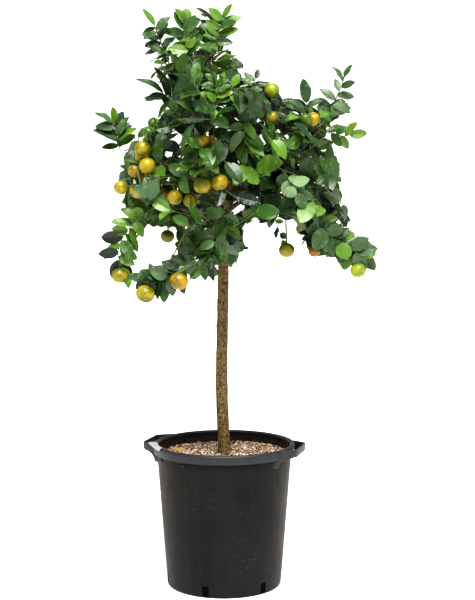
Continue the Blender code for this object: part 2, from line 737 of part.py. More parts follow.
def make_limbs():
    """The trunk and boughs. Each bough's foot is cut to sit against the limb that it leaves."""
    radii = []
    for a, b in zip(TRUNK_RADII, TRUNK_RADII[1:]):
        radii += [a, (a + b) / 2]
    limbs = {"trunk": (curve_through([Vector(p) for p in TRUNK_ROUTE], 2), radii + [TRUNK_RADII[-1]])}
    shapes = {"trunk": tube(*limbs["trunk"], TRUNK_SIDES, Vector((0, 0, 1)))}
    make_object("trunk", shapes["trunk"], "bark", radians(40))
    clearances = {}
    for name, (parent, share, knots, foot, tip) in BOUGHS.items():
        parent_route, parent_radii = limbs[parent]
        knots = [Vector(p) for p in knots]
        on_top = share == 1.0
        start = along(parent_route, share)
        foot_way = None
        if on_top:
            foot_way = (parent_route[-1] - parent_route[-2]).normalized()
            start = start + foot_way * GAP
        route = curve_through([start] + knots, BOUGH_STEPS)
        limbs[name] = (route, spread(foot, tip, len(route)))
        shapes[name] = tube(*limbs[name], BOUGH_SIDES, foot_way)
        bough = make_object(name, shapes[name], "bark", radians(50))
        if on_top:
            continue
        if parent not in clearances:
            sides = TRUNK_SIDES if parent == "trunk" else BOUGH_SIDES
            grown = tube(parent_route, parent_radii, sides, None, GAP * 1.3)
            clearances[parent] = make_cutter(parent + "_clearance", grown)
        boolean(bough, clearances[parent], "DIFFERENCE")
    return limbs, shapes


# The rule by which foliage grows: shoots to their ends, twigs that fill in, fruit, then leaves


def bounds(points):
    centre = sum(points, Vector()) / len(points)
    return centre, max((p - centre).length for p in points)


def keep(taken, shape, owner):
    """Adds a shape to what stands in the way of the rest."""
    centre, reach = bounds(shape[0])
    taken.append((centre, reach, BVHTree.FromPolygons(*shape, epsilon=GAP), owner))


def blocked(taken, shape, touching):
    """Whether a shape meets anything taken, except what it may touch."""
    centre, reach = bounds(shape[0])
    tree = None
    for other_centre, other_reach, other_tree, owner in taken:
        if owner in touching or (other_centre - centre).length > reach + other_reach + GAP:
            continue
        if tree is None:
            tree = BVHTree.FromPolygons(*shape, epsilon=GAP)
        if tree.overlap(other_tree):
            return True
    return False


def in_crown(point):
    """Whether a point lies within the crown's outline and depth, and clear of the gaps where sky shows."""
    share = -EYE.y / (point.y - EYE.y)
    x = EYE.x + (point.x - EYE.x) * share
    z = EYE.z + (point.z - EYE.z) * share
    if any(((x - gx) / half_x) ** 2 + ((z - gz) / half_z) ** 2 < 1 for gx, gz, half_x, half_z in SKY_GAPS):
        return False
    across, rise = x - CROWN_MIDDLE.x, z - CROWN_MIDDLE.z
    turn = atan2(rise, across) / (2 * pi) * len(CROWN_REACH)
    before = CROWN_REACH[int(turn // 1) % len(CROWN_REACH)]
    after = CROWN_REACH[int(turn // 1 + 1) % len(CROWN_REACH)]
    reach = before + (after - before) * (turn % 1)
    depth = CROWN_DEPTH * sqrt(max(0.1, 1 - (rise / CROWN_RISE) ** 2))
    return sqrt(across**2 + rise**2) < reach + EDGE_SLACK and abs(point.y) < depth


def make_tree(points):
    tree = KDTree(len(points))
    for k, point in enumerate(points):
        tree.insert(point, k)
    tree.balance()
    return tree


def in_space(point, space):
    """Whether a point lies in the crown, nearer to its own mass's shoots than to any other's."""
    own, others = space
    return own.find(point)[2] + SPACE_MARGIN < others.find(point)[2] and in_crown(point)


def foot_for(stems, aim):
    """The place on a mass's stems from which a twig best reaches for a point."""
    best = None
    for number, stem in enumerate(stems):
        route = stem["route"]
        for k in range(1, len(route)):
            way = (route[k] - route[k - 1]).normalized()
            reach = aim - route[k]
            cost = reach.length * (1.7 - way.dot(reach.normalized()))
            if best is None or cost < best[0]:
                best = (cost, route[k], way, stem["radii"][k], number)
    cost, point, way, thick, number = best
    return point - way * FOOT_NUDGE * (1 + len(stems) % 5), way, thick, number


def make_stem(start, heading, end, lift, thick, parent):
    """A twig from its foot to its end. The first stem of a mass sits square on its bough's tip."""
    route = arch(start, heading, end, lift)
    stem = {"route": route, "radii": spread(thick, TWIG_TIP, len(route)), "parent": parent}
    stem["foot_way"] = heading if parent is None else None
    stem["shape"] = tube(route, stem["radii"], TWIG_SIDES, stem["foot_way"])
    return stem


def grow_shoots(name, plan, bough, taken):
    """The stem that leaves the bough's tip, and the shoots that branch from it."""
    route, radii = bough
    heading = (route[-1] - route[-2]).normalized()
    start = route[-1] + heading * GAP
    stems = []
    for number, end in enumerate(plan["shoots"]):
        end = Vector(end)
        if stems:
            start, heading, thick, parent = foot_for(stems, end)
            thick *= 0.8
        else:
            thick, parent = radii[-1] * 0.8, None
        lift = 0.35 if end.z > start.z else -0.25
        stem = make_stem(start, heading, end, lift, thick, parent)
        if blocked(taken, stem["shape"], {plan["bough"], name}):
            print("left out: shoot", number, "of", name)
            continue
        stems.append(stem)
        keep(taken, stem["shape"], name)
    return stems


def grow_fill(name, plan, stems, space, taken, rng):
    """Twigs that reach into the emptiest places of the mass's space."""
    ends = [stem["route"][-1] for stem in stems]
    low = Vector([min(p[k] for p in ends) - FILL_SPREAD for k in range(3)])
    high = Vector([max(p[k] for p in ends) + FILL_SPREAD for k in range(3)])
    grown = 0
    for _ in range(plan["fill"] * 12):
        if grown == plan["fill"]:
            return
        best = None
        for _ in range(10):
            aim = Vector([rng.uniform(low[k], high[k]) for k in range(3)])
            near = min((aim - p).length for stem in stems for p in stem["route"])
            if FILL_REACH[0] < near < FILL_REACH[1] and in_space(aim, space):
                if best is None or near > best[0]:
                    best = (near, aim)
        if best is None:
            continue
        aim = best[1]
        start, heading, thick, parent = foot_for(stems, aim)
        stem = make_stem(start, heading, aim, 0.3, min(thick * 0.8, TWIG_RADIUS), parent)
        if (aim - start).length > 2 * FILL_REACH[1] or not all(in_space(p, space) for p in stem["route"][1:]):
            continue
        if blocked(taken, stem["shape"], {name}):
            continue
        stems.append(stem)
        keep(taken, stem["shape"], name)
        grown += 1


def grow_fruit(name, plan, stems, taken):
    """Each fruit hangs from the nearest twig by a short stalk."""
    shapes = []
    for number, (x, y, z, radius) in enumerate(plan["fruit"]):
        centre = Vector((x, y, z))
        fruit = ball(centre, radius)
        crown = centre + Vector((0, 0, radius * 0.7))
        foot = foot_for(stems, crown + Vector((0, 0, radius)))[0]
        stalk = tube(arch(foot, crown - foot, crown, -0.6, 2), [STALK] * 3, TWIG_SIDES)
        if blocked(taken, fruit, {name}) or blocked(taken, stalk, {name, name + "_fruit"}):
            print("left out: fruit", number, "of", name)
            continue
        keep(taken, fruit, name + "_fruit")
        shapes += [fruit, stalk]
    return shapes


def leaf_choices(stem, share, at_tip, rng):
    """Ways a leaf could stand at one place on a twig, those that face out of the crown most first."""
    choices = []
    facet = rng.randrange(TWIG_SIDES)
    for number in range(LEAF_TRIES):
        foot, way, out = facet_at(stem, share, facet + number)
        opening = 0.0 if at_tip else rng.uniform(*LEAF_OPENING)
        heading = way * cos(opening) + out * sin(opening) - Vector((0, 0, LEAF_HANG))
        outward = (foot - CROWN_MIDDLE).normalized()
        up = Vector((0, 0, 0.55)) + outward * 0.75 + Vector([rng.uniform(-0.35, 0.35) for _ in range(3)])
        size = rng.uniform(*LEAF_LENGTH) * (1 - number / LEAF_TRIES * LEAF_YIELD)
        facing = up - heading * up.dot(heading) / heading.length_squared
        choices.append((facing.dot(outward) + facing.z * 0.3, foot, heading, up, size))
    return sorted(choices, key=lambda choice: -choice[0])


def grow_leaves(name, stems, space, taken, rng):
    """Leaves along each twig, with one at its tip. One that would not fit is turned or left out."""
    shapes = []
    for stem in stems:
        route = stem["route"]
        length = sum((b - a).length for a, b in zip(route, route[1:]))
        for k in range(MOST_LEAVES):
            share = 1 - (LEAF_TIP + k * (LEAF_STEP + k * LEAF_STEP_GROWS)) / length
            if share < BARE_SHARE:
                break
            for _, foot, heading, up, size in leaf_choices(stem, share, k == 0, rng):
                blade = leaf(foot, heading, up, size, size * LEAF_ASPECT)
                if not all(in_space(p, space) for p in blade[0][1:]):
                    continue
                if blocked(taken, blade, {name}):
                    continue
                keep(taken, blade, name + "_leaf")
                shapes.append(blade)
                break
    return shapes


def make_foliage(limbs, limb_shapes):
    """Every mass: all their stems first, then fruit, then leaves, so that each keeps to its own space."""
    taken = []
    for limb, shape in limb_shapes.items():
        keep(taken, shape, limb)
    stems = {}
    for name, plan in MASSES.items():
        stems[name] = grow_shoots(name, plan, limbs[plan["bough"]], taken)
    marks = {}
    for name, grown in stems.items():
        pairs = [pair for stem in grown for pair in zip(stem["route"], stem["route"][1:])]
        marks[name] = [a.lerp(b, t) for a, b in pairs for t in (0, 0.5, 1)]
    spaces = {}
    for name in MASSES:
        others = [point for other, points in marks.items() if other != name for point in points]
        spaces[name] = (make_tree(marks[name]), make_tree(others))
    rngs = {name: Random(plan["seed"]) for name, plan in MASSES.items()}
    for name, plan in MASSES.items():
        grow_fill(name, plan, stems[name], spaces[name], taken, rngs[name])
    fruit = {name: grow_fruit(name, plan, stems[name], taken) for name, plan in MASSES.items()}
    total = 0
    for name in MASSES:
        leaves = grow_leaves(name, stems[name], spaces[name], taken, rngs[name])
        total += len(leaves)
        shapes = [stem["shape"] for stem in stems[name]] + fruit[name] + leaves
        mass = make_object(name, shapes[0], "leaf")
        join(name, mass, shapes[1:])
        print(name, len(stems[name]), "twigs", len(leaves), "leaves", len(mass.data.loop_triangles))
    print("leaves", total)


def main():
    for old in list(bpy.data.objects):
        bpy.data.objects.remove(old)
    make_pot()
    make_soil()
    make_handles()
    make_foliage(*make_limbs())


main()
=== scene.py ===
from math import atan2, cos, pi, radians, sin, sqrt
from random import Random

import bpy
import numpy as np
from mathutils import Matrix, Vector, noise
from mathutils.kdtree import KDTree


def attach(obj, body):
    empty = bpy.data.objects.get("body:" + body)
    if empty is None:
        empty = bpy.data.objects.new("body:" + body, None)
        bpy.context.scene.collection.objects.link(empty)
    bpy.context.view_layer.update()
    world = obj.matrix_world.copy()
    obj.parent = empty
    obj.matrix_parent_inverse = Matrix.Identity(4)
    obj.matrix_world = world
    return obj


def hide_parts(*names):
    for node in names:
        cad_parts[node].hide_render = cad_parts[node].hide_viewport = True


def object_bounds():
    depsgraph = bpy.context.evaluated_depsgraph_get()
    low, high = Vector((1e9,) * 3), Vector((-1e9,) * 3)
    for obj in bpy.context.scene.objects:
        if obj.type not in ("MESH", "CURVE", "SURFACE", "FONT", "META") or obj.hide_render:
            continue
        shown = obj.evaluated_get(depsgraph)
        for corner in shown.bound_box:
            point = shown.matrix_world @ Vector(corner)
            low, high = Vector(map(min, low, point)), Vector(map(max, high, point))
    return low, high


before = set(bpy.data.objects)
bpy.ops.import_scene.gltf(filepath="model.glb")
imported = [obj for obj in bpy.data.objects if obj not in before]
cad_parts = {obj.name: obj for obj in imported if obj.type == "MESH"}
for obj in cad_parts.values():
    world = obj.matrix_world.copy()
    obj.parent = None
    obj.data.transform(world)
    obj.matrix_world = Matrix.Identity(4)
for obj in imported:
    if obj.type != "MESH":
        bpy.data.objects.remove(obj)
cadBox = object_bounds()
print("frame loaded:", len(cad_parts), "nodes")


# camera, floor and light

cameraSet = {
    "place": (0.0323, -2.9153, 0.9084),
    "pitch": 0.0742,  # downwards, radians
    "lens": 72.7,
    "sensor": 36,
}
lightSet = {
    "sky": 0.20,  # how strongly the soft sky lights the plant; it looks white itself
    "gloss": 0.50,  # and how bright it is in what reflects it
    "sun": {"turn": (radians(30), 0, radians(9)), "power": 4.7, "spread": radians(40)},
    "fill": {"place": (2.6, -2.6, 1.5), "aim": (0, 0, 0.8), "size": 2.2, "power": 7},
}


def addCamera():
    bpy.ops.object.camera_add(location=cameraSet["place"], rotation=(radians(90) - cameraSet["pitch"], 0, 0))
    camera = bpy.context.object
    camera.name = "photoCamera"
    camera.data.sensor_fit = "VERTICAL"
    camera.data.sensor_height = cameraSet["sensor"]
    camera.data.lens = cameraSet["lens"]
    bpy.context.scene.camera = camera


def addStage():
    world = bpy.data.worlds.new("softSky")
    bpy.context.scene.world = world
    world.use_nodes = True
    tree = world.node_tree
    sky = tree.nodes["Background"]
    sky.inputs["Color"].default_value = (1, 1, 1, 1)
    sky.inputs["Strength"].default_value = lightSet["sky"]
    path = addNode(tree, "ShaderNodeLightPath").outputs
    last = sky.outputs[0]
    for ray, colour, strength in (("Is Glossy Ray", (0.96, 0.99, 1, 1), lightSet["gloss"]), ("Is Camera Ray", (1, 1, 1, 1), 1.0)):
        seen = addNode(tree, "ShaderNodeBackground", {"Color": colour, "Strength": strength})
        blend = addNode(tree, "ShaderNodeMixShader")
        link(tree, path[ray], blend.inputs[0])
        link(tree, last, blend.inputs[1])
        link(tree, seen.outputs[0], blend.inputs[2])
        last = blend.outputs[0]
    link(tree, last, tree.nodes["World Output"].inputs["Surface"])
    sun = lightSet["sun"]
    bpy.ops.object.light_add(type="SUN", location=(0, 0, 3), rotation=sun["turn"])
    bpy.context.object.name = "sunLight"
    bpy.context.object.data.energy = sun["power"]
    bpy.context.object.data.angle = sun["spread"]
    fill = lightSet["fill"]
    way = Vector(fill["aim"]) - Vector(fill["place"])
    bpy.ops.object.light_add(type="AREA", location=fill["place"], rotation=way.to_track_quat("-Z", "Y").to_euler())
    bpy.context.object.name = "fillLight"
    bpy.context.object.data.size = fill["size"]
    bpy.context.object.data.energy = fill["power"]
    bpy.ops.mesh.primitive_plane_add(size=60, location=(0, 0, -0.0005))
    floor = bpy.context.object
    floor.name = "paleFloor"
    finish = plainFinish("paleFloor", (0.80, 0.80, 0.80), 0.9)
    glow = finish.node_tree.nodes["Principled BSDF"].inputs
    glow["Emission Color"].default_value = (1, 1, 1, 1)
    glow["Emission Strength"].default_value = 0.30
    floor.data.materials.append(finish)
    view = bpy.context.scene.view_settings
    view.view_transform = "Standard"
    view.look = "High Contrast"
    view.exposure = 0.12


# material helpers

def startMaterial(name):
    made = bpy.data.materials.new(name)
    made.use_nodes = True
    tree = made.node_tree
    return made, tree, tree.nodes["Principled BSDF"]


def addNode(tree, kind, values=None, **settings):
    node = tree.nodes.new(kind)
    for key, value in settings.items():
        setattr(node, key, value)
    for key, value in (values or {}).items():
        node.inputs[key].default_value = value
    return node


def link(tree, source, target):
    tree.links.new(source, target)


def plainFinish(name, colour, roughness):
    made, tree, shader = startMaterial(name)
    shader.inputs["Base Color"].default_value = (*colour, 1)
    shader.inputs["Roughness"].default_value = roughness
    return made


def noiseNode(tree, coords, scale, detail=4.0, roughness=0.55, stretch=None):
    if stretch:
        mapping = addNode(tree, "ShaderNodeMapping", {"Scale": stretch})
        link(tree, coords, mapping.inputs["Vector"])
        coords = mapping.outputs["Vector"]
    node = addNode(tree, "ShaderNodeTexNoise", {"Scale": scale, "Detail": detail, "Roughness": roughness})
    link(tree, coords, node.inputs["Vector"])
    return node.outputs["Fac"]


def ramp(tree, fac, stops):
    node = addNode(tree, "ShaderNodeValToRGB")
    steps = node.color_ramp.elements
    while len(steps) < len(stops):
        steps.new(0.5)
    for step, (place, colour) in zip(steps, stops):
        step.position = place
        step.color = (*colour, 1) if len(colour) == 3 else colour
    link(tree, fac, node.inputs["Fac"])
    return node.outputs["Color"]


def greyRamp(tree, fac, stops):
    return ramp(tree, fac, [(place, (v, v, v)) for place, v in stops])


def mixColour(tree, fac, a, b, blend="MIX"):
    node = addNode(tree, "ShaderNodeMix", data_type="RGBA", blend_type=blend)
    for socket, value in (("Factor", fac), ("A", a), ("B", b)):
        spot = [s for s in node.inputs if s.name == socket and s.enabled][0]
        if isinstance(value, bpy.types.NodeSocket):
            link(tree, value, spot)
        else:
            spot.default_value = (*value, 1) if isinstance(value, tuple) else value
    return [s for s in node.outputs if s.enabled][0]


def maths(tree, operation, a, b=0.0, c=0.0, clamp=False):
    node = addNode(tree, "ShaderNodeMath", operation=operation, use_clamp=clamp)
    for spot, value in zip(node.inputs, (a, b, c)):
        if isinstance(value, bpy.types.NodeSocket):
            link(tree, value, spot)
        else:
            spot.default_value = value
    return node.outputs[0]


def addBump(tree, shader, height, strength, distance):
    node = addNode(tree, "ShaderNodeBump", {"Strength": strength, "Distance": distance})
    link(tree, height, node.inputs["Height"])
    link(tree, node.outputs["Normal"], shader.inputs["Normal"])


# object helpers

def deselectAll():
    if bpy.context.object and bpy.context.object.mode != "OBJECT":
        bpy.ops.object.mode_set(mode="OBJECT")
    bpy.ops.object.select_all(action="DESELECT")


def makeActive(piece):
    deselectAll()
    piece.select_set(True)
    bpy.context.view_layer.objects.active = piece


def settle(piece):
    makeActive(piece)
    bpy.ops.object.transform_apply(location=True, rotation=True, scale=True)


def applyModifiers(piece):
    makeActive(piece)
    for modifier in list(piece.modifiers):
        bpy.ops.object.modifier_apply(modifier=modifier.name)


def joinPieces(name, parts):
    deselectAll()
    for part in parts:
        part.select_set(True)
    bpy.context.view_layer.objects.active = parts[0]
    if len(parts) > 1:
        bpy.ops.object.join()
    parts[0].name = name
    return parts[0]


def meshFromArrays(name, points, faces, materials, indexes=None, smooth=True, uvs=None):
    mesh = bpy.data.meshes.new(name)
    points = np.asarray(points, dtype=np.float32)
    sizes = np.array([len(f) for f in faces], dtype=np.int32)
    loops = np.concatenate([np.asarray(f, dtype=np.int32) for f in faces]) if len(faces) else np.zeros(0, np.int32)
    mesh.vertices.add(len(points))
    mesh.vertices.foreach_set("co", points.ravel())
    mesh.loops.add(len(loops))
    mesh.loops.foreach_set("vertex_index", loops)
    mesh.polygons.add(len(faces))
    mesh.polygons.foreach_set("loop_start", np.concatenate([[0], np.cumsum(sizes)[:-1]]).astype(np.int32))
    mesh.polygons.foreach_set("use_smooth", np.full(len(faces), smooth))
    if indexes is not None:
        mesh.polygons.foreach_set("material_index", np.asarray(indexes, dtype=np.int32))
    if uvs is not None:
        layer = mesh.uv_layers.new(name="leafMap")
        layer.data.foreach_set("uv", np.asarray(uvs, dtype=np.float32)[loops].ravel())
    for material in materials:
        mesh.materials.append(material)
    mesh.update(calc_edges=True)
    mesh.validate()
    piece = bpy.data.objects.new(name, mesh)
    bpy.context.scene.collection.objects.link(piece)
    return piece


def smoothShade(piece, angle):
    makeActive(piece)
    bpy.ops.object.shade_smooth_by_angle(angle=radians(angle))


def finishPiece(piece, replaced=()):
    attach(piece, "root")
    if replaced:
        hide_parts(*replaced)


# the pot

potSet = {
    "sides": 144,
    "foot": 0.1385,
    "neck": 0.1635,
    "rim": 0.1725,
    "height": 0.345,
    "skirt": 0.022,
    "wall": 0.003,
    "floor": 0.005,
    "slots": 6,
    "slotTurn": radians(-108),
    "slotWide": 0.016,
    "slotLow": 0.003,
    "slotTall": 0.025,
    "seams": 12,
    "seamTurn": radians(-5),  # the first seam, from the front
}


def potProfile():
    top, rim, neck = potSet["height"], potSet["rim"], potSet["neck"]
    foot, wall = potSet["foot"], potSet["wall"]
    outer = [(foot - 0.0045, 0.0), (foot - 0.0016, 0.0006), (foot - 0.0004, 0.0022), (foot, 0.0045)]
    for k in range(1, 12):  # the wall, with the ring that stands under the lip
        share = k / 12
        outer.append((foot + (neck - foot) * share, 0.0045 + (top - potSet["skirt"] - 0.0045) * share))
    outer += [(neck, top - potSet["skirt"]), (neck + 0.0005, top - 0.0048)]
    lip = [
        (rim - 0.0042, top - 0.0048), (rim - 0.0042, top - potSet["skirt"] + 0.0006), (rim - 0.0036, top - potSet["skirt"]),
        (rim - 0.0018, top - potSet["skirt"]), (rim - 0.0013, top - potSet["skirt"] + 0.0007), (rim - 0.0010, top - 0.0150),
        (rim - 0.0006, top - 0.0100), (rim - 0.0001, top - 0.0062), (rim - 0.0003, top - 0.0038), (rim - 0.0013, top - 0.0019),
        (rim - 0.0030, top - 0.0006), (rim - 0.0050, top), (rim - 0.0075, top - 0.0001), (rim - 0.0100, top - 0.0008),
        (rim - 0.0120, top - 0.0022), (rim - 0.0134, top - 0.0044), (neck - wall + 0.0007, top - 0.0080),
    ]
    inner = [(neck - wall, top - 0.0200), (foot - wall, potSet["floor"] + 0.002), (foot - wall - 0.002, potSet["floor"])]
    return outer + lip + inner


def potFinish(name, dark, shine, sheen, dirtAndEdgeSheen):
    made, tree, shader = startMaterial(name)
    coords = addNode(tree, "ShaderNodeTexCoord").outputs["Object"]
    split = addNode(tree, "ShaderNodeSeparateXYZ")
    link(tree, coords, split.inputs[0])
    x, y, z = split.outputs
    cloud = noiseNode(tree, coords, 7.0, 6.0, 0.62)
    dust = noiseNode(tree, coords, 46.0, 8.0, 0.7)
    streak = noiseNode(tree, coords, 30.0, 5.0, 0.6, (1.0, 1.0, 0.10))
    drip = greyRamp(tree, streak, [(0.46, 0.0), (0.72, 1.0)])
    dusty = maths(tree, "MULTIPLY", greyRamp(tree, cloud, [(0.36, 0.0), (0.70, 1.0)]), greyRamp(tree, dust, [(0.30, 0.25), (0.72, 1.0)]))
    dusty = maths(tree, "MULTIPLY", dusty, 0.42)
    dusty = maths(tree, "MULTIPLY_ADD", drip, 0.16, dusty, clamp=True)
    colour = mixColour(tree, maths(tree, "MULTIPLY", dusty, dirtAndEdgeSheen), dark, (0.046, 0.036, 0.026))
    speck = greyRamp(tree, noiseNode(tree, coords, 420.0, 2.0, 0.5), [(0.68, 0.0), (0.76, 1.0)])
    colour = mixColour(tree, maths(tree, "MULTIPLY", speck, 0.40), colour, (0.16, 0.145, 0.12))
    # brown splashes, part dust and part painted grazing sheen, kept to the left and right edges of the pot as seen from
    # the front
    splashAndEdgeSheen = noiseNode(tree, coords, 55.0, 5.0, 0.62, (1.0, 1.0, 0.45))
    sides = greyRamp(tree, maths(tree, "DIVIDE", maths(tree, "ABSOLUTE", x), 0.16), [(0.70, 0.0), (0.95, 1.0)])
    splashAndEdgeSheen = maths(tree, "MULTIPLY", greyRamp(tree, splashAndEdgeSheen, [(0.42, 0.0), (0.62, 1.0)]), sides)
    colour = mixColour(tree, maths(tree, "MULTIPLY", splashAndEdgeSheen, 0.50 * dirtAndEdgeSheen), colour, (0.085, 0.060, 0.038))
    fleck = noiseNode(tree, coords, 95.0, 2.0, 0.5, (1.0, 1.0, 1.6))
    fleck = greyRamp(tree, fleck, [(0.745, 0.0), (0.765, 1.0)])
    colour = mixColour(tree, maths(tree, "MULTIPLY", fleck, 0.75), colour, (0.15, 0.105, 0.065))
    # long fine scratches, running round the wall and down it
    scratch = noiseNode(tree, coords, 22.0, 3.0, 0.4, (0.5, 0.5, 14.0))
    scratch = greyRamp(tree, scratch, [(0.495, 0.0), (0.50, 1.0), (0.505, 0.0)])
    patches = greyRamp(tree, noiseNode(tree, coords, 9.0, 2.0, 0.5), [(0.55, 0.0), (0.66, 1.0)])
    scratch = maths(tree, "MULTIPLY", scratch, patches)
    colour = mixColour(tree, maths(tree, "MULTIPLY", scratch, 0.45), colour, (0.16, 0.155, 0.145))
    # the mould's seams: a thin line down the wall every thirty degrees
    turn = maths(tree, "ARCTAN2", y, x)
    turn = maths(tree, "MULTIPLY_ADD", turn, potSet["seams"] / (2 * pi), 12.0 + 3.0 - potSet["seamTurn"] * potSet["seams"] / (2 * pi))
    off = maths(tree, "ABSOLUTE", maths(tree, "SUBTRACT", maths(tree, "FRACT", turn), 0.5))
    seam = maths(tree, "SUBTRACT", 1.0, maths(tree, "DIVIDE", maths(tree, "SUBTRACT", 0.5, off), 0.008), clamp=True)
    onWall = maths(tree, "LESS_THAN", z, potSet["height"] - potSet["skirt"])
    seam = maths(tree, "MULTIPLY", seam, onWall)
    colour = mixColour(tree, maths(tree, "MULTIPLY", seam, 0.14), colour, (0.10, 0.098, 0.092))
    link(tree, colour, shader.inputs["Base Color"])
    link(tree, maths(tree, "MULTIPLY_ADD", dusty, 0.35, 0.46), shader.inputs["Roughness"])
    shader.inputs["Specular IOR Level"].default_value = shine
    shader.inputs["Sheen Weight"].default_value = sheen
    shader.inputs["Sheen Roughness"].default_value = 0.45
    shader.inputs["Sheen Tint"].default_value = (0.62, 0.48, 0.34, 1)
    grain = noiseNode(tree, coords, 700.0, 3.0, 0.6)
    height = maths(tree, "MULTIPLY_ADD", seam, 1.6, maths(tree, "MULTIPLY_ADD", cloud, 1.2, maths(tree, "MULTIPLY", grain, 0.22)))
    height = maths(tree, "MULTIPLY_ADD", scratch, -0.5, height)
    addBump(tree, shader, height, 0.5, 0.0006)
    return made


def makePot(finishes):
    profile = potProfile()
    bpy.ops.mesh.primitive_circle_add(vertices=potSet["sides"], radius=profile[0][0], fill_type="NGON", location=(0, 0, 0))
    pot = bpy.context.object
    pot.name = "potShell"
    bpy.ops.object.mode_set(mode="EDIT")
    bpy.ops.mesh.select_all(action="SELECT")
    for (wide, low), (nextWide, high) in zip(profile, profile[1:]):  # up the wall, over the lip and down inside
        bpy.ops.mesh.extrude_region_move(TRANSFORM_OT_translate={"value": (0, 0, high - low)})
        share = nextWide / wide
        bpy.ops.transform.resize(value=(share, share, 1), center_override=(0, 0, high))
    bpy.ops.mesh.select_all(action="SELECT")
    bpy.ops.mesh.normals_make_consistent(inside=False)
    bpy.ops.object.mode_set(mode="OBJECT")
    cutters = []
    for k in range(potSet["slots"]):
        turn = potSet["slotTurn"] + 2 * pi * k / potSet["slots"]
        bpy.ops.mesh.primitive_cube_add(size=1, location=(potSet["foot"] * cos(turn), potSet["foot"] * sin(turn), potSet["slotLow"] + potSet["slotTall"] / 2))
        cutter = bpy.context.object
        cutter.scale = (0.03, potSet["slotWide"], potSet["slotTall"])
        cutter.rotation_euler.z = turn
        bpy.ops.object.transform_apply(location=False, rotation=False, scale=True)
        bevel = cutter.modifiers.new("roundCorners", "BEVEL")
        bevel.width = 0.0022
        bevel.segments = 3
        applyModifiers(cutter)
        cutters.append(cutter)
    cutter = joinPieces("slotCutter", cutters)
    cut = pot.modifiers.new("slots", "BOOLEAN")
    cut.operation = "DIFFERENCE"
    cut.object = cutter
    applyModifiers(pot)
    bpy.data.objects.remove(cutter)
    settle(pot)
    smoothShade(pot, 38)
    pot.data.materials.clear()
    for finish in finishes:
        pot.data.materials.append(finish)
    for face in pot.data.polygons:
        inside = face.normal.x * face.center.x + face.normal.y * face.center.y < 0
        onLip = face.center.z > potSet["height"] - (0.012 if inside else potSet["skirt"])
        face.material_index = 1 if onLip else 2 if inside and face.center.z > 0.1 else 0
    finishPiece(pot, ["pot"])
    return pot


# short upright ribs in the groove under the lip, a pair to each seam, that run out into the wall
ribSet = {"wide": 0.0020, "low": 0.308, "high": 0.336, "spread": radians(1.7)}


def makeRibs(finish):
    slope = (potSet["neck"] - potSet["foot"]) / potSet["height"]
    lowWall = potSet["neck"] - (potSet["height"] - potSet["skirt"] - ribSet["low"]) * slope
    ribs = []
    for k in range(potSet["seams"]):
        for side in (-1, 1):
            bpy.ops.mesh.primitive_cube_add(size=1)
            rib = bpy.context.object
            for v in rib.data.vertices:
                up, out = v.co.z > 0, v.co.x > 0
                reach = (potSet["rim"] - 0.0045 if out else potSet["neck"] - 0.001) if up else lowWall + (0.0006 if out else -0.001)
                v.co = (reach, v.co.y * ribSet["wide"], ribSet["high"] if up else ribSet["low"])
            bpy.ops.object.mode_set(mode="EDIT")
            bpy.ops.mesh.select_all(action="SELECT")
            bpy.ops.mesh.bevel(offset=0.0004, segments=2, affect="EDGES")
            bpy.ops.object.mode_set(mode="OBJECT")
            rib.rotation_euler.z = -pi / 2 + potSet["seamTurn"] + 2 * pi * k / potSet["seams"] + side * ribSet["spread"]
            ribs.append(rib)
    whole = joinPieces("potRibs", ribs)
    settle(whole)
    whole.data.materials.clear()
    whole.data.materials.append(finish)
    finishPiece(whole)


# a blank pale strip laid over the lip, beside the near arm of the left grip
stripSet = {"turn": (radians(181), radians(209)), "steps": 14, "thick": 0.0005}
stripOver = [(0.1622, 0.3452), (0.1650, 0.3459), (0.1680, 0.3458), (0.1706, 0.3452), (0.1727, 0.3436), (0.1735, 0.3412), (0.1737, 0.3385)]
stripFlat = [(0.1622, 0.3455), (0.1650, 0.3460), (0.1690, 0.3461), (0.1730, 0.3461), (0.1770, 0.3460), (0.1810, 0.3460), (0.1845, 0.3458)]


def makeStrip():
    bpy.ops.mesh.primitive_grid_add(x_subdivisions=len(stripOver) - 1, y_subdivisions=stripSet["steps"], size=2)
    strip = bpy.context.object
    strip.name = "blankStrip"
    first, last = stripSet["turn"]
    for v in strip.data.vertices:
        column = round((v.co.x + 1) / 2 * (len(stripOver) - 1))
        share = (v.co.y + 1) / 2
        over = min(1.0, max(0.0, (share - 0.18) / 0.28))
        over = over * over * (3 - 2 * over)
        (r0, z0), (r1, z1) = stripFlat[column], stripOver[column]
        turn = first + (last - first) * share
        reach = r0 + (r1 - r0) * over
        v.co = (reach * cos(turn), reach * sin(turn), z0 + (z1 - z0) * over)
    wall = strip.modifiers.new("thickness", "SOLIDIFY")
    wall.thickness = stripSet["thick"]
    wall.offset = 0
    smooth = strip.modifiers.new("smooth", "SUBSURF")
    smooth.levels = smooth.render_levels = 1
    applyModifiers(strip)
    makeActive(strip)
    bpy.ops.object.mode_set(mode="EDIT")
    bpy.ops.mesh.select_all(action="SELECT")
    bpy.ops.mesh.normals_make_consistent(inside=False)
    bpy.ops.object.mode_set(mode="OBJECT")
    smoothShade(strip, 40)
    made, tree, shader = startMaterial("blankStripPlastic")
    coords = addNode(tree, "ShaderNodeTexCoord").outputs["Object"]
    cloud = noiseNode(tree, coords, 120.0, 5.0, 0.6)
    link(tree, ramp(tree, cloud, [(0.34, (0.33, 0.34, 0.37)), (0.62, (0.46, 0.47, 0.51))]), shader.inputs["Base Color"])
    shader.inputs["Roughness"].default_value = 0.45
    addBump(tree, shader, cloud, 0.3, 0.0006)
    strip.data.materials.append(made)
    finishPiece(strip)


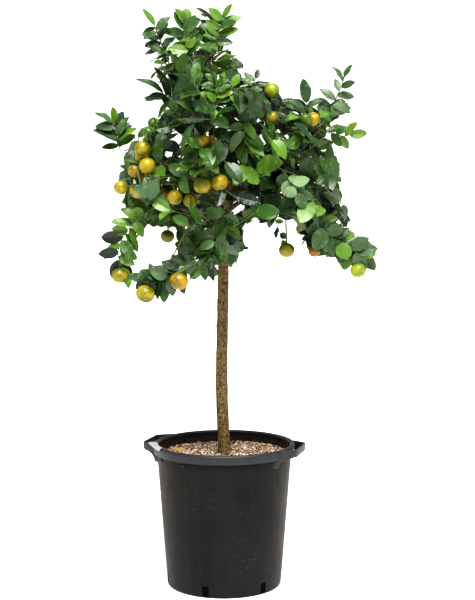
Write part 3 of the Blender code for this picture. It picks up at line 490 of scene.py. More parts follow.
def makeHandles(finish):
    for name, cadName in (("gripRight", "handle_right"), ("gripLeft", "handle_left")):
        grip = bpy.data.objects.new(name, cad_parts[cadName].data.copy())
        bpy.context.scene.collection.objects.link(grip)
        makeActive(grip)
        bpy.ops.object.mode_set(mode="EDIT")
        bpy.ops.mesh.select_all(action="SELECT")
        bpy.ops.mesh.remove_doubles(threshold=0.00002)
        bpy.ops.mesh.dissolve_limited(angle_limit=radians(3))
        bpy.ops.mesh.normals_make_consistent(inside=False)
        bpy.ops.object.mode_set(mode="OBJECT")
        bevel = grip.modifiers.new("softEdges", "BEVEL")
        bevel.width = 0.0006
        bevel.segments = 2
        bevel.limit_method = "ANGLE"
        bevel.angle_limit = radians(35)
        applyModifiers(grip)
        smoothShade(grip, 40)
        grip.data.materials.clear()
        grip.data.materials.append(finish)
        finishPiece(grip, [cadName])


# the bed of gravel

bedSet = {
    "top": 0.3175, "radius": 0.1582, "pebbles": 4300, "seed": 5, "small": 0.0016, "large": 0.0042,
    "thinFrom": 0.128,  # further out more of the dark mix shows
    "moss": (-0.021, -0.004), "mossReach": 0.007,
}
pebbleTones = {
    "pebbleTan": ((0.44, 0.30, 0.17), (0.60, 0.44, 0.27), 28),
    "pebblePink": ((0.46, 0.25, 0.17), (0.60, 0.38, 0.28), 24),
    "pebbleWhite": ((0.68, 0.62, 0.53), (0.86, 0.81, 0.72), 14),
    "pebbleBrown": ((0.10, 0.055, 0.030), (0.22, 0.13, 0.075), 22),
    "pebbleGrey": ((0.16, 0.15, 0.13), (0.34, 0.31, 0.27), 12),
    "mossGreen": ((0.030, 0.070, 0.010), (0.090, 0.160, 0.020), 0),
}


def pebbleFinish(name, low, high):
    made, tree, shader = startMaterial(name)
    coords = addNode(tree, "ShaderNodeTexCoord").outputs["Object"]
    patch = noiseNode(tree, coords, 160.0, 5.0, 0.65)
    colour = ramp(tree, patch, [(0.32, low), (0.66, high)])
    link(tree, colour, shader.inputs["Base Color"])
    shader.inputs["Roughness"].default_value = 0.82
    addBump(tree, shader, noiseNode(tree, coords, 900.0, 4.0, 0.6), 0.4, 0.0004)
    return made


def soilFinish():
    made, tree, shader = startMaterial("darkMix")
    coords = addNode(tree, "ShaderNodeTexCoord").outputs["Object"]
    crumbs = noiseNode(tree, coords, 210.0, 8.0, 0.7)
    colour = ramp(tree, crumbs, [(0.35, (0.016, 0.010, 0.006)), (0.62, (0.095, 0.060, 0.034))])
    split = addNode(tree, "ShaderNodeSeparateXYZ")
    link(tree, coords, split.inputs[0])
    low = maths(tree, "LESS_THAN", split.outputs[2], 0.30)
    colour = mixColour(tree, maths(tree, "MULTIPLY", low, 0.93), colour, (0.003, 0.003, 0.003))  # painted shade: near black below z 0.30, where the soil shows in the drain slots
    link(tree, colour, shader.inputs["Base Color"])
    shader.inputs["Roughness"].default_value = 0.95
    shader.inputs["Specular IOR Level"].default_value = 0.08
    addBump(tree, shader, crumbs, 0.9, 0.003)
    return made


def pebbleShapes(rng):
    shapes = []
    for k in range(9):
        bpy.ops.mesh.primitive_ico_sphere_add(subdivisions=1, radius=1)
        stone = bpy.context.object
        stone.scale = (1.0, rng.uniform(0.65, 0.95), rng.uniform(0.45, 0.75))
        bpy.ops.object.transform_apply(location=False, rotation=False, scale=True)
        bpy.ops.object.mode_set(mode="EDIT")
        bpy.ops.mesh.select_all(action="SELECT")
        bpy.ops.transform.vertex_random(offset=0.22, seed=k + 3)
        bpy.ops.object.mode_set(mode="OBJECT")
        points = np.array([v.co for v in stone.data.vertices])
        faces = np.array([tuple(p.vertices) for p in stone.data.polygons])
        shapes.append((points, faces))
        bpy.data.objects.remove(stone)
    return shapes


def makeGravel():
    rng = Random(bedSet["seed"])
    shapes = pebbleShapes(rng)
    tones = list(pebbleTones)
    weights = [pebbleTones[t][2] for t in tones]
    points, faces, indexes, start = [], [], [], 0
    for _ in range(bedSet["pebbles"]):
        size = bedSet["small"] + (bedSet["large"] - bedSet["small"]) * rng.random() ** 1.8
        reach = (bedSet["radius"] - size) * sqrt(rng.random())
        turn = rng.uniform(0, 2 * pi)
        out = max(0.0, (reach - bedSet["thinFrom"]) / (bedSet["radius"] - bedSet["thinFrom"]))
        if reach < 0.0175 or rng.random() < out * (0.75 if cos(turn) < 0.2 else 0.35):
            continue
        shape, ring = shapes[rng.randrange(len(shapes))]
        spin = Matrix.Rotation(rng.uniform(0, 2 * pi), 3, "Z") @ Matrix.Rotation(rng.uniform(-0.5, 0.5), 3, "X")
        place = np.array((reach * cos(turn), reach * sin(turn), bedSet["top"] + rng.uniform(-0.0004, 0.0024)))
        points.append(shape * size @ np.array(spin).T + place)
        faces.append(ring + start)
        start += len(shape)
        mossy = (place[0] - bedSet["moss"][0]) ** 2 + (place[1] - bedSet["moss"][1]) ** 2 < bedSet["mossReach"] ** 2
        indexes += [tones.index("mossGreen" if mossy else rng.choices(tones, weights)[0])] * len(ring)
    finishes = [pebbleFinish(t, *pebbleTones[t][:2]) for t in tones]
    gravel = meshFromArrays("gravel", np.concatenate(points), [tuple(f) for f in np.concatenate(faces)], finishes, indexes)
    finishPiece(gravel)
    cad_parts["soil"].data.materials.clear()
    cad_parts["soil"].data.materials.append(soilFinish())
    fallen = {"root": Vector((-0.129, 0.024, 0.3215)), "heading": Vector((0.97, 0.22, 0.02)), "up": Vector((0.1, -0.25, 1)),
              "length": 0.043, "wide": 0.021, "seed": 0.31}
    points, faces, kinds, uv = leafArrays([fallen])
    dry = [leafFinish("dryLeafTop", (0.42, 0.27, 0.08), (0.50, 0.36, 0.16), False),
           leafFinish("dryLeafUnder", (0.36, 0.24, 0.09), (0.50, 0.36, 0.16), True)]
    leaf = meshFromArrays("dryLeaf", points, faces, dry, kinds, True, uv)
    creaseLeaves(leaf.data)
    finishPiece(leaf)
    print("gravel:", len(gravel.data.polygons), "faces")


# trunk and boughs: the same routes as the frame's, with the bark's relief

trunkSet = {
    "route": [
        (0.001, 0.0, 0.3178), (0.0, 0.0, 0.335), (-0.006, 0.001, 0.487), (-0.003, -0.001, 0.684),
        (-0.001, 0.0, 0.800), (0.005, 0.0, 0.920), (0.017, 0.0, 0.961),
    ],
    "radii": [0.0156, 0.0148, 0.0145, 0.0136, 0.0131, 0.0123, 0.0114],
}
# each bough: what it leaves, how far along, the points it passes, and its radius at both ends
boughSet = {
    "bough_leader": ("trunk", 1.0, [(0.0, 0.0, 1.03), (-0.028, 0.0, 1.10), (-0.04, 0.0, 1.160)], 0.0090, 0.0050),
    "bough_right": ("trunk", 0.940, [(0.06, -0.003, 0.988), (0.12, 0.0, 1.02), (0.178, 0.0, 1.047)], 0.0070, 0.0040),
    "bough_back_right": ("trunk", 0.918, [(0.06, 0.045, 0.978), (0.136, 0.097, 1.026)], 0.0058, 0.0038),
    "bough_left": ("trunk", 0.930, [(-0.04, -0.02, 0.975), (-0.097, -0.048, 0.995)], 0.0066, 0.0040),
    "bough_back_left": ("trunk", 0.905, [(-0.05, 0.05, 0.965), (-0.117, 0.097, 1.016)], 0.0058, 0.0036),
    "bough_right_low": ("trunk", 0.905, [(0.06, -0.012, 0.940), (0.13, -0.035, 0.945), (0.209, -0.048, 0.909)], 0.0064, 0.0036),
    "bough_back": ("trunk", 0.890, [(0.008, 0.07, 0.955), (0.01, 0.126, 0.987)], 0.0054, 0.0036),
    "bough_front_hang": ("trunk", 0.880, [(0.002, -0.07, 0.935), (-0.001, -0.146, 0.942)], 0.0060, 0.0036),
    "bough_back_low_right": ("trunk", 0.865, [(0.06, 0.06, 0.910), (0.117, 0.117, 0.918)], 0.0052, 0.0034),
    "bough_left_low": ("trunk", 0.850, [(-0.06, -0.05, 0.905), (-0.130, -0.098, 0.914)], 0.0060, 0.0036),
    "bough_back_low_left": ("trunk", 0.825, [(-0.05, 0.06, 0.895), (-0.107, 0.117, 0.910)], 0.0052, 0.0034),
    "bough_back_low": ("trunk", 0.800, [(-0.008, 0.07, 0.868), (-0.02, 0.116, 0.872)], 0.0048, 0.0032),
    "bough_front": ("bough_leader", 0.16, [(0.006, -0.045, 1.005), (-0.004, -0.086, 1.012)], 0.0050, 0.0034),
    "bough_top_left": ("bough_leader", 0.60, [(-0.055, -0.022, 1.12), (-0.083, -0.038, 1.158)], 0.0046, 0.0032),
    "bough_top_right": ("bough_leader", 0.45, [(0.006, -0.018, 1.10), (0.016, -0.028, 1.148)], 0.0042, 0.0030),
    "bough_back_top": ("bough_leader", 0.55, [(-0.025, 0.035, 1.09), (-0.03, 0.068, 1.125)], 0.0042, 0.0030),
    "bough_centre_right": ("bough_right", 0.30, [(0.075, -0.02, 0.997), (0.09, -0.037, 1.002)], 0.0044, 0.0034),
    "bough_right_outer": ("bough_right_low", 0.52, [(0.14, -0.010, 0.962), (0.188, 0.008, 0.966)], 0.0042, 0.0032),
    "bough_left_tip": ("bough_left", 0.55, [(-0.11, -0.026, 1.012), (-0.172, -0.020, 1.029)], 0.0042, 0.0032),
    "bough_front_low": ("bough_left_low", 0.45, [(-0.055, -0.105, 0.915), (-0.062, -0.146, 0.901)], 0.0042, 0.0032),
}


def curveThrough(knots, steps):
    ends = [knots[0] * 2 - knots[1]] + knots + [knots[-1] * 2 - knots[-2]]
    route = []
    for k in range(len(knots) - 1):
        a, b, c, d = ends[k : k + 4]
        for n in range(steps):
            t = n / steps
            bend = (a * 2 - b * 5 + c * 4 - d) * t * t
            route.append((b * 2 + (c - a) * t + bend + (b * 3 - a - c * 3 + d) * t**3) * 0.5)
    return route + [knots[-1]]


def pointAlong(route, share):
    lengths = [(b - a).length for a, b in zip(route, route[1:])]
    left = share * sum(lengths)
    for a, b, length in zip(route, route[1:], lengths):
        if left <= length:
            return a.lerp(b, left / length)
        left -= length
    return route[-1]


def evenRoute(route, radii, step):
    lengths = [0.0]
    for a, b in zip(route, route[1:]):
        lengths.append(lengths[-1] + (b - a).length)
    count = max(2, round(lengths[-1] / step) + 1)
    places = np.linspace(0, lengths[-1], count)
    coords = np.array(route)
    even = np.stack([np.interp(places, lengths, coords[:, k]) for k in range(3)], axis=1)
    return [Vector(p) for p in even], list(np.interp(places, lengths, radii))


def ringFrames(route):
    ways = []
    for k in range(len(route)):
        ways.append((route[min(k + 1, len(route) - 1)] - route[max(k - 1, 0)]).normalized())
    side = ways[0].orthogonal().normalized()
    frames = [(ways[0], side)]
    for before, way in zip(ways, ways[1:]):
        side = before.rotation_difference(way) @ side
        frames.append((way, side))
    return frames


def barkRelief(x, around, s, radius, seed):
    px, py = cos(around) * radius, sin(around) * radius
    fissure = noise.noise(Vector((px * 330, py * 330, s * 42 + seed)))
    ridges = abs(noise.noise(Vector((px * 210, py * 210, s * 24 + seed + 9))))
    knobs = noise.noise(Vector((px * 60, py * 60, s * 30 + seed + 4)))
    return 0.00042 * fissure - 0.0007 * max(0.0, 0.22 - ridges) * 2 + 0.0011 * knobs


def wrapLimb(name, route, radii, sides, step, seed, relief=1.0, bumps=()):
    route, radii = evenRoute(route, radii, step)
    rings = len(route)
    bpy.ops.mesh.primitive_grid_add(x_subdivisions=sides, y_subdivisions=rings - 1, size=2)
    limb = bpy.context.object
    limb.name = name
    frames = ringFrames(route)
    total = (rings - 1) * step
    for v in limb.data.vertices:
        k = round((v.co.y + 1) / 2 * (rings - 1))
        around = (v.co.x + 1) * pi
        way, side = frames[k]
        other = way.cross(side)
        radius = radii[k]
        grow = relief * barkRelief(0, around, k * step, radius, seed)
        out = side * cos(around) + other * sin(around)
        for height, facing, wide, tall in bumps:  # stubs and healed knots
            near = (route[k].z - height) ** 2 / wide**2 + (out - facing).length_squared * radius**2 / wide**2
            grow += tall * max(0.0, 1 - near) ** 2
        v.co = route[k] + out * (radius + grow)
    makeActive(limb)
    bpy.ops.object.mode_set(mode="EDIT")
    bpy.ops.mesh.select_all(action="SELECT")
    bpy.ops.mesh.remove_doubles(threshold=0.00001)
    bpy.ops.mesh.fill_holes(sides=0)
    bpy.ops.mesh.normals_make_consistent(inside=False)
    bpy.ops.object.mode_set(mode="OBJECT")
    bpy.ops.object.shade_smooth()
    return limb


def barkFinish(name, pale, dark, moss):
    made, tree, shader = startMaterial(name)
    coords = addNode(tree, "ShaderNodeTexCoord").outputs["Object"]
    fibre = noiseNode(tree, coords, 380.0, 7.0, 0.72, (1.0, 1.0, 0.50))
    patch = noiseNode(tree, coords, 55.0, 5.0, 0.6, (1.0, 1.0, 0.45))
    colour = ramp(tree, fibre, [(0.43, dark), (0.52, pale), (0.64, tuple(c * 1.7 for c in pale))])
    colour = mixColour(tree, greyRamp(tree, patch, [(0.46, 0.0), (0.66, 0.55)]), colour, moss)
    crack = greyRamp(tree, noiseNode(tree, coords, 420.0, 5.0, 0.6, (1.0, 1.0, 0.30)), [(0.38, 1.0), (0.47, 0.0)])
    colour = mixColour(tree, maths(tree, "MULTIPLY", crack, 0.85), colour, tuple(c * 0.40 for c in dark))
    speck = greyRamp(tree, noiseNode(tree, coords, 620.0, 3.0, 0.6), [(0.60, 0.0), (0.68, 0.90)])
    colour = mixColour(tree, speck, colour, (0.50, 0.37, 0.19))
    link(tree, colour, shader.inputs["Base Color"])
    shader.inputs["Roughness"].default_value = 0.9
    addBump(tree, shader, maths(tree, "MULTIPLY_ADD", crack, -1.2, fibre), 0.8, 0.0014)
    return made


def layLimbs():
    def spread(a, b, count):
        return [a + (b - a) * k / (count - 1) for k in range(count)]

    radii = []
    for a, b in zip(trunkSet["radii"], trunkSet["radii"][1:]):
        radii += [a, (a + b) / 2]
    limbs = {"trunk": (curveThrough([Vector(p) for p in trunkSet["route"]], 2), radii + [trunkSet["radii"][-1]])}
    for name, (parent, share, knots, foot, tip) in boughSet.items():
        route, _ = limbs[parent]
        start = pointAlong(route, share)
        if share == 1.0:
            start = start + (route[-1] - route[-2]).normalized() * 0.0003
        made = curveThrough([start] + [Vector(p) for p in knots], 2)
        limbs[name] = (made, spread(foot, tip, len(made)))
    return limbs


def makeLimbs(limbs):
    bark = barkFinish("trunkBark", (0.225, 0.150, 0.060), (0.030, 0.018, 0.007), (0.150, 0.112, 0.040))
    green = barkFinish("boughBark", (0.200, 0.140, 0.062), (0.050, 0.034, 0.015), (0.110, 0.115, 0.036))
    route = curveThrough([Vector(p) for p in trunkSet["route"]], 8)
    radii = list(np.interp(np.linspace(0, 6, len(route)), range(7), trunkSet["radii"]))
    leader = limbs["bough_leader"]
    smooth = curveThrough(leader[0], 4)[1:]
    route += smooth
    radii += list(np.interp(np.linspace(0, 1, len(smooth)), [0, 1], [0.0100, 0.0050]))
    flare = [0.0010 * max(0.0, 1 - (p.z - 0.3178) / 0.016) ** 2 for p in route]
    knots = [
        (0.509, Vector((0.25, -0.97, 0)).normalized(), 0.010, 0.0040),
        (0.752, Vector((0.5, -0.86, 0)).normalized(), 0.012, 0.0035),
        (0.630, Vector((-0.9, -0.4, 0)).normalized(), 0.008, 0.0022),
        (0.420, Vector((-0.6, 0.8, 0)).normalized(), 0.009, 0.0028),
    ]
    trunk = wrapLimb("trunkWood", route, [r + f for r, f in zip(radii, flare)], 44, 0.0036, 1.0, 1.0, knots)
    trunk.data.materials.append(bark)
    finishPiece(trunk, ["trunk", "bough_leader"])
    parts = []
    for k, (name, (route, radii)) in enumerate(limbs.items()):
        if name in ("trunk", "bough_leader"):
            continue
        fine = curveThrough(route, 4)
        even = np.interp(np.linspace(0, 1, len(fine)), np.linspace(0, 1, len(radii)), radii)
        length = [0.0]
        for a, b in zip(fine, fine[1:]):
            length.append(length[-1] + (b - a).length)
        collar = [0.0028 * max(0.0, 1 - s / 0.028) ** 2 for s in length]
        parts.append(wrapLimb(name + "Wood", fine, [r + c for r, c in zip(even, collar)], 18, 0.0044, 3.0 + k, 0.6))
    boughs = joinPieces("boughWood", parts)
    boughs.data.materials.clear()
    boughs.data.materials.append(green)
    finishPiece(boughs, [n for n in limbs if n not in ("trunk", "bough_leader")])
    print("limbs:", len(trunk.data.polygons) + len(boughs.data.polygons), "faces")


# the crown: shoots as in the frame, then finer twigs, leaves and fruit by the same rule

massSet = {
    "foliage_top_centre": {
        "bough": "bough_leader",
        "shoots": [
            (-0.026, 0.0, 1.325), (0.060, 0.0, 1.394), (-0.075, -0.03, 1.339), (0.029, 0.04, 1.297),
            (-0.092, 0.04, 1.264), (-0.013, -0.09, 1.226), (-0.043, -0.07, 1.283), (-0.03, 0.09, 1.275),
        ],
        "fruit": [], "fill": 22, "seed": 11,
    },
    "foliage_top_left": {
        "bough": "bough_top_left",
        "shoots": [
            (-0.157, -0.03, 1.330), (-0.171, -0.07, 1.200), (-0.124, -0.08, 1.236), (-0.159, 0.04, 1.269),
            (-0.174, 0.03, 1.177),
        ],
        "fruit": [], "fill": 14, "seed": 12,
    },
    "foliage_upper_right": {
        "bough": "bough_top_right",
        "shoots": [(0.076, -0.05, 1.207), (0.053, 0.02, 1.243), (0.098, -0.08, 1.167), (0.092, 0.04, 1.149)],
        "fruit": [(0.112, -0.06, 1.186, 0.0184, "lime")], "fill": 14, "seed": 13,
    },
    "foliage_right_upper": {
        "bough": "bough_right",
        "shoots": [
            (0.279, 0.0, 1.198), (0.185, -0.03, 1.144), (0.278, -0.04, 1.138), (0.285, -0.02, 1.083),
            (0.158, -0.09, 1.107), (0.239, 0.07, 1.123),
        ],
        "fruit": [
            (0.188, -0.11, 1.116, 0.0134, "green"), (0.208, -0.07, 1.119, 0.0169, "yellow"),
            (0.274, -0.04, 1.156, 0.0134, "green"),
        ],
        "fill": 16, "seed": 14,
    },
    "foliage_right_outer": {
        "bough": "bough_right_outer",
        "shoots": [
            (0.292, 0.0, 1.023), (0.274, -0.05, 0.955), (0.246, -0.10, 0.989), (0.276, 0.03, 0.920),
            (0.240, 0.08, 1.031),
        ],
        "fruit": [], "fill": 14, "seed": 15,
    },
    "foliage_right_low": {
        "bough": "bough_right_low",
        "shoots": [
            (0.299, -0.09, 0.801), (0.251, -0.05, 0.814), (0.289, -0.04, 0.870), (0.216, -0.08, 0.838),
            (0.258, 0.04, 0.855), (0.330, -0.06, 0.838),
        ],
        "fruit": [(0.313, -0.10, 0.768, 0.0184, "lime"), (0.213, -0.06, 0.811, 0.0141, "orange")],
        "fill": 14, "seed": 16, "large": (1.10, 0.05),
    },
    "foliage_centre_right": {
        "bough": "bough_centre_right",
        "shoots": [
            (0.139, -0.12, 1.082), (0.088, -0.15, 1.062), (0.171, -0.12, 0.995), (0.111, -0.15, 0.949),
            (0.145, -0.10, 0.835),
        ],
        "fruit": [(0.147, -0.09, 0.815, 0.0184, "lemon"), (0.113, -0.14, 1.117, 0.0154, "lemon")],
        "fill": 16, "seed": 17, "large": (1.10, 0.05),
    },
    "foliage_centre_front": {
        "bough": "bough_front",
        "shoots": [
            (-0.025, -0.19, 1.126), (-0.070, -0.17, 1.083), (0.033, -0.17, 1.088), (-0.051, -0.22, 1.019),
            (0.047, -0.18, 1.025), (-0.015, -0.24, 0.974),
        ],
        "fruit": [
            (-0.043, -0.20, 1.062, 0.0156, "yellow"), (-0.023, -0.17, 1.063, 0.0143, "orange"),
            (-0.007, -0.23, 0.969, 0.0192, "yellow"), (-0.046, -0.23, 0.962, 0.0192, "yellow"),
        ],
        "fill": 18, "seed": 18,
    },
    "foliage_front_hang": {
        "bough": "bough_front_hang",
        "shoots": [
            (-0.034, -0.21, 0.806), (-0.081, -0.26, 0.781), (0.029, -0.20, 0.846), (0.006, -0.18, 0.791),
            (0.061, -0.17, 0.890), (-0.060, -0.22, 0.868),
        ],
        "fruit": [(-0.096, -0.27, 0.753, 0.0206, "golden"), (-0.073, -0.20, 0.929, 0.0161, "yellow")],
        "fill": 16, "seed": 19, "large": (1.10, 0.05),
    },
    "foliage_front_low": {
        "bough": "bough_front_low",
        "shoots": [(-0.130, -0.24, 0.763), (-0.169, -0.25, 0.741), (-0.101, -0.20, 0.819), (-0.078, -0.22, 0.744)],
        "fruit": [(-0.171, -0.25, 0.724, 0.0212, "lemon")], "fill": 10, "seed": 20, "large": (1.10, 0.05),
    },
    "foliage_left_fruit": {
        "bough": "bough_left",
        "shoots": [
            (-0.176, -0.17, 1.007), (-0.212, -0.15, 0.967), (-0.146, -0.18, 0.953), (-0.097, -0.18, 0.962),
            (-0.167, -0.14, 1.072), (-0.221, -0.10, 0.931),
        ],
        "fruit": [
            (-0.161, -0.10, 1.108, 0.0138, "green"), (-0.170, -0.12, 1.085, 0.0153, "green"),
            (-0.182, -0.17, 1.046, 0.0187, "lemon"), (-0.187, -0.13, 1.030, 0.0159, "yellow"),
            (-0.170, -0.19, 1.007, 0.0186, "yellow"), (-0.200, -0.17, 0.996, 0.0158, "golden"),
            (-0.181, -0.14, 0.980, 0.0136, "golden"), (-0.230, -0.180, 0.958, 0.0163, "yellow"),
            (-0.196, -0.150, 0.952, 0.0181, "yellow"), (-0.184, -0.20, 0.948, 0.0161, "lemon"),
            (-0.156, -0.18, 0.947, 0.0180, "lemon"), (-0.140, -0.14, 0.946, 0.0136, "orange"),
            (-0.108, -0.19, 0.937, 0.0179, "yellow"),
        ],
        "fill": 18, "seed": 21,
    },
    "foliage_left_tip": {
        "bough": "bough_left_tip",
        "shoots": [(-0.253, -0.05, 1.098), (-0.210, 0.0, 1.141), (-0.232, 0.03, 1.053), (-0.194, -0.08, 1.089)],
        "fruit": [], "fill": 16, "seed": 22,
    },
    "foliage_left_arch": {
        "bough": "bough_left_low",
        "shoots": [(-0.235, -0.16, 0.790), (-0.234, -0.12, 0.867), (-0.166, -0.16, 0.872), (-0.206, -0.12, 0.816)],
        "fruit": [(-0.235, -0.16, 0.760, 0.0196, "lemon")], "fill": 14, "seed": 23,
    },
    "foliage_back_top": {
        "bough": "bough_back_top",
        "shoots": [(-0.03, 0.15, 1.240), (0.045, 0.13, 1.200), (-0.09, 0.14, 1.180), (-0.02, 0.20, 1.150)],
        "fruit": [(0.045, 0.17, 1.150, 0.0170, "yellow")], "fill": 18, "seed": 24,
    },
    "foliage_back_left": {
        "bough": "bough_back_left",
        "shoots": [(-0.21, 0.17, 1.090), (-0.17, 0.23, 1.020), (-0.24, 0.11, 1.000), (-0.14, 0.16, 1.120)],
        "fruit": [(-0.19, 0.22, 0.970, 0.0180, "golden"), (-0.22, 0.18, 1.000, 0.0160, "yellow")],
        "fill": 20, "seed": 25,
    },
    "foliage_back_right": {
        "bough": "bough_back_right",
        "shoots": [(0.24, 0.16, 1.080), (0.19, 0.23, 1.030), (0.13, 0.17, 1.110), (0.27, 0.12, 0.990)],
        "fruit": [(0.17, 0.24, 0.980, 0.0180, "yellow"), (0.22, 0.22, 1.010, 0.0160, "lime")],
        "fill": 20, "seed": 26,
    },
    "foliage_back": {
        "bough": "bough_back",
        "shoots": [(0.0, 0.25, 1.050), (0.07, 0.24, 0.980), (-0.07, 0.25, 0.970), (0.02, 0.18, 1.080)],
        "fruit": [(-0.03, 0.27, 0.990, 0.0180, "yellow"), (0.02, 0.26, 0.960, 0.0170, "golden")],
        "fill": 20, "seed": 27,
    },
    "foliage_back_low_left": {
        "bough": "bough_back_low_left",
        "shoots": [(-0.21, 0.15, 0.885), (-0.14, 0.23, 0.875), (-0.20, 0.19, 0.940), (-0.11, 0.20, 0.930)],
        "fruit": [(-0.15, 0.24, 0.840, 0.0180, "lemon")], "fill": 18, "seed": 28,
    },
    "foliage_back_low_right": {
        "bough": "bough_back_low_right",
        "shoots": [(0.22, 0.15, 0.890), (0.15, 0.22, 0.885), (0.23, 0.19, 0.930), (0.12, 0.20, 0.940)],
        "fruit": [(0.20, 0.20, 0.860, 0.0180, "golden")], "fill": 18, "seed": 29,
    },
    "foliage_back_low": {
        "bough": "bough_back_low",
        "shoots": [(-0.03, 0.20, 0.800), (0.015, 0.17, 0.820), (-0.07, 0.17, 0.830), (0.0, 0.21, 0.870)],
        "fruit": [(-0.04, 0.22, 0.780, 0.0180, "yellow")], "fill": 16, "seed": 30,
    },
}

# the crown's outline from the front and the sky that shows through it, in millimetres on the plane of the trunk
crownSet = {
    "eye": Vector((0.0323, -2.9153, 0.9084)),
    "middle": Vector((0.03, 0.0, 1.02)),
    "depth": 0.325,
    "rise": 0.44,
    "cell": 0.0025,
    "low": (-0.33, 0.66),
    "cells": (296, 304),  # across, up
    # leaf tips and notches of the crown's edge, read off the photo to 5 mm or so, run clockwise
    "outline": [
        (60, 1402), (18, 1378), (40, 1376), (18, 1350), (37, 1332), (10, 1330), (5, 1300), (30, 1263),
        (50, 1262), (72, 1236), (98, 1252), (84, 1222), (96, 1206), (125, 1207), (136, 1172), (176, 1190),
        (180, 1215), (206, 1210), (208, 1176), (232, 1172), (232, 1192), (262, 1200), (264, 1180),
        (283, 1212), (240, 1242), (280, 1245), (314, 1240), (290, 1214), (272, 1174), (290, 1167),
        (310, 1152), (286, 1138), (286, 1110), (320, 1106), (305, 1066), (284, 1060), (318, 1020),
        (270, 1045), (280, 980), (268, 966), (316, 918), (304, 884), (320, 864), (362, 830), (372, 802),
        (358, 780), (340, 764), (322, 743), (271, 735), (247, 752), (252, 784), (235, 785), (206, 820),
        (190, 824), (174, 880), (150, 868), (145, 845), (170, 812), (150, 790), (130, 808), (115, 835),
        (122, 880), (97, 872), (74, 900), (72, 879), (40, 869), (58, 816), (45, 792), (20, 765),
        (-10, 775), (-27, 726), (-52, 744), (-66, 760), (-78, 706), (-90, 745), (-108, 714), (-138, 703),
        (-149, 674), (-170, 690), (-190, 682), (-213, 706), (-232, 719), (-186, 770), (-178, 793),
        (-140, 810), (-100, 803), (-62, 812), (-116, 812), (-112, 868), (-140, 852), (-168, 876),
        (-171, 842), (-185, 808), (-205, 830), (-228, 862), (-203, 777), (-232, 762), (-250, 732),
        (-270, 756), (-252, 840), (-255, 870), (-212, 902), (-248, 922), (-258, 958), (-250, 990),
        (-228, 1045), (-278, 1032), (-265, 1060), (-300, 1082), (-305, 1110), (-310, 1143), (-262, 1148),
        (-220, 1145), (-200, 1094), (-200, 1076), (-160, 1075), (-194, 1088), (-194, 1108), (-160, 1130),
        (-204, 1132), (-150, 1160), (-208, 1165), (-222, 1192), (-165, 1208), (-182, 1234), (-150, 1250),
        (-197, 1264), (-160, 1290), (-200, 1308), (-168, 1328), (-220, 1342), (-182, 1362), (-149, 1379),
        (-152, 1350), (-100, 1345), (-137, 1367), (-96, 1387), (-65, 1380), (-20, 1392), (5, 1379),
    ],
    # where sky shows through: middle across and up, half width, half height
    "gaps": [
        (30, 915, 24, 12), (-110, 1080, 14, 13), (-132, 1050, 9, 16), (-140, 1104, 10, 8),
        (223, 1163, 9, 8), (175, 1173, 9, 8), (-152, 778, 12, 9), (33, 978, 8, 9), (-135, 1335, 10, 10),
    ],
}
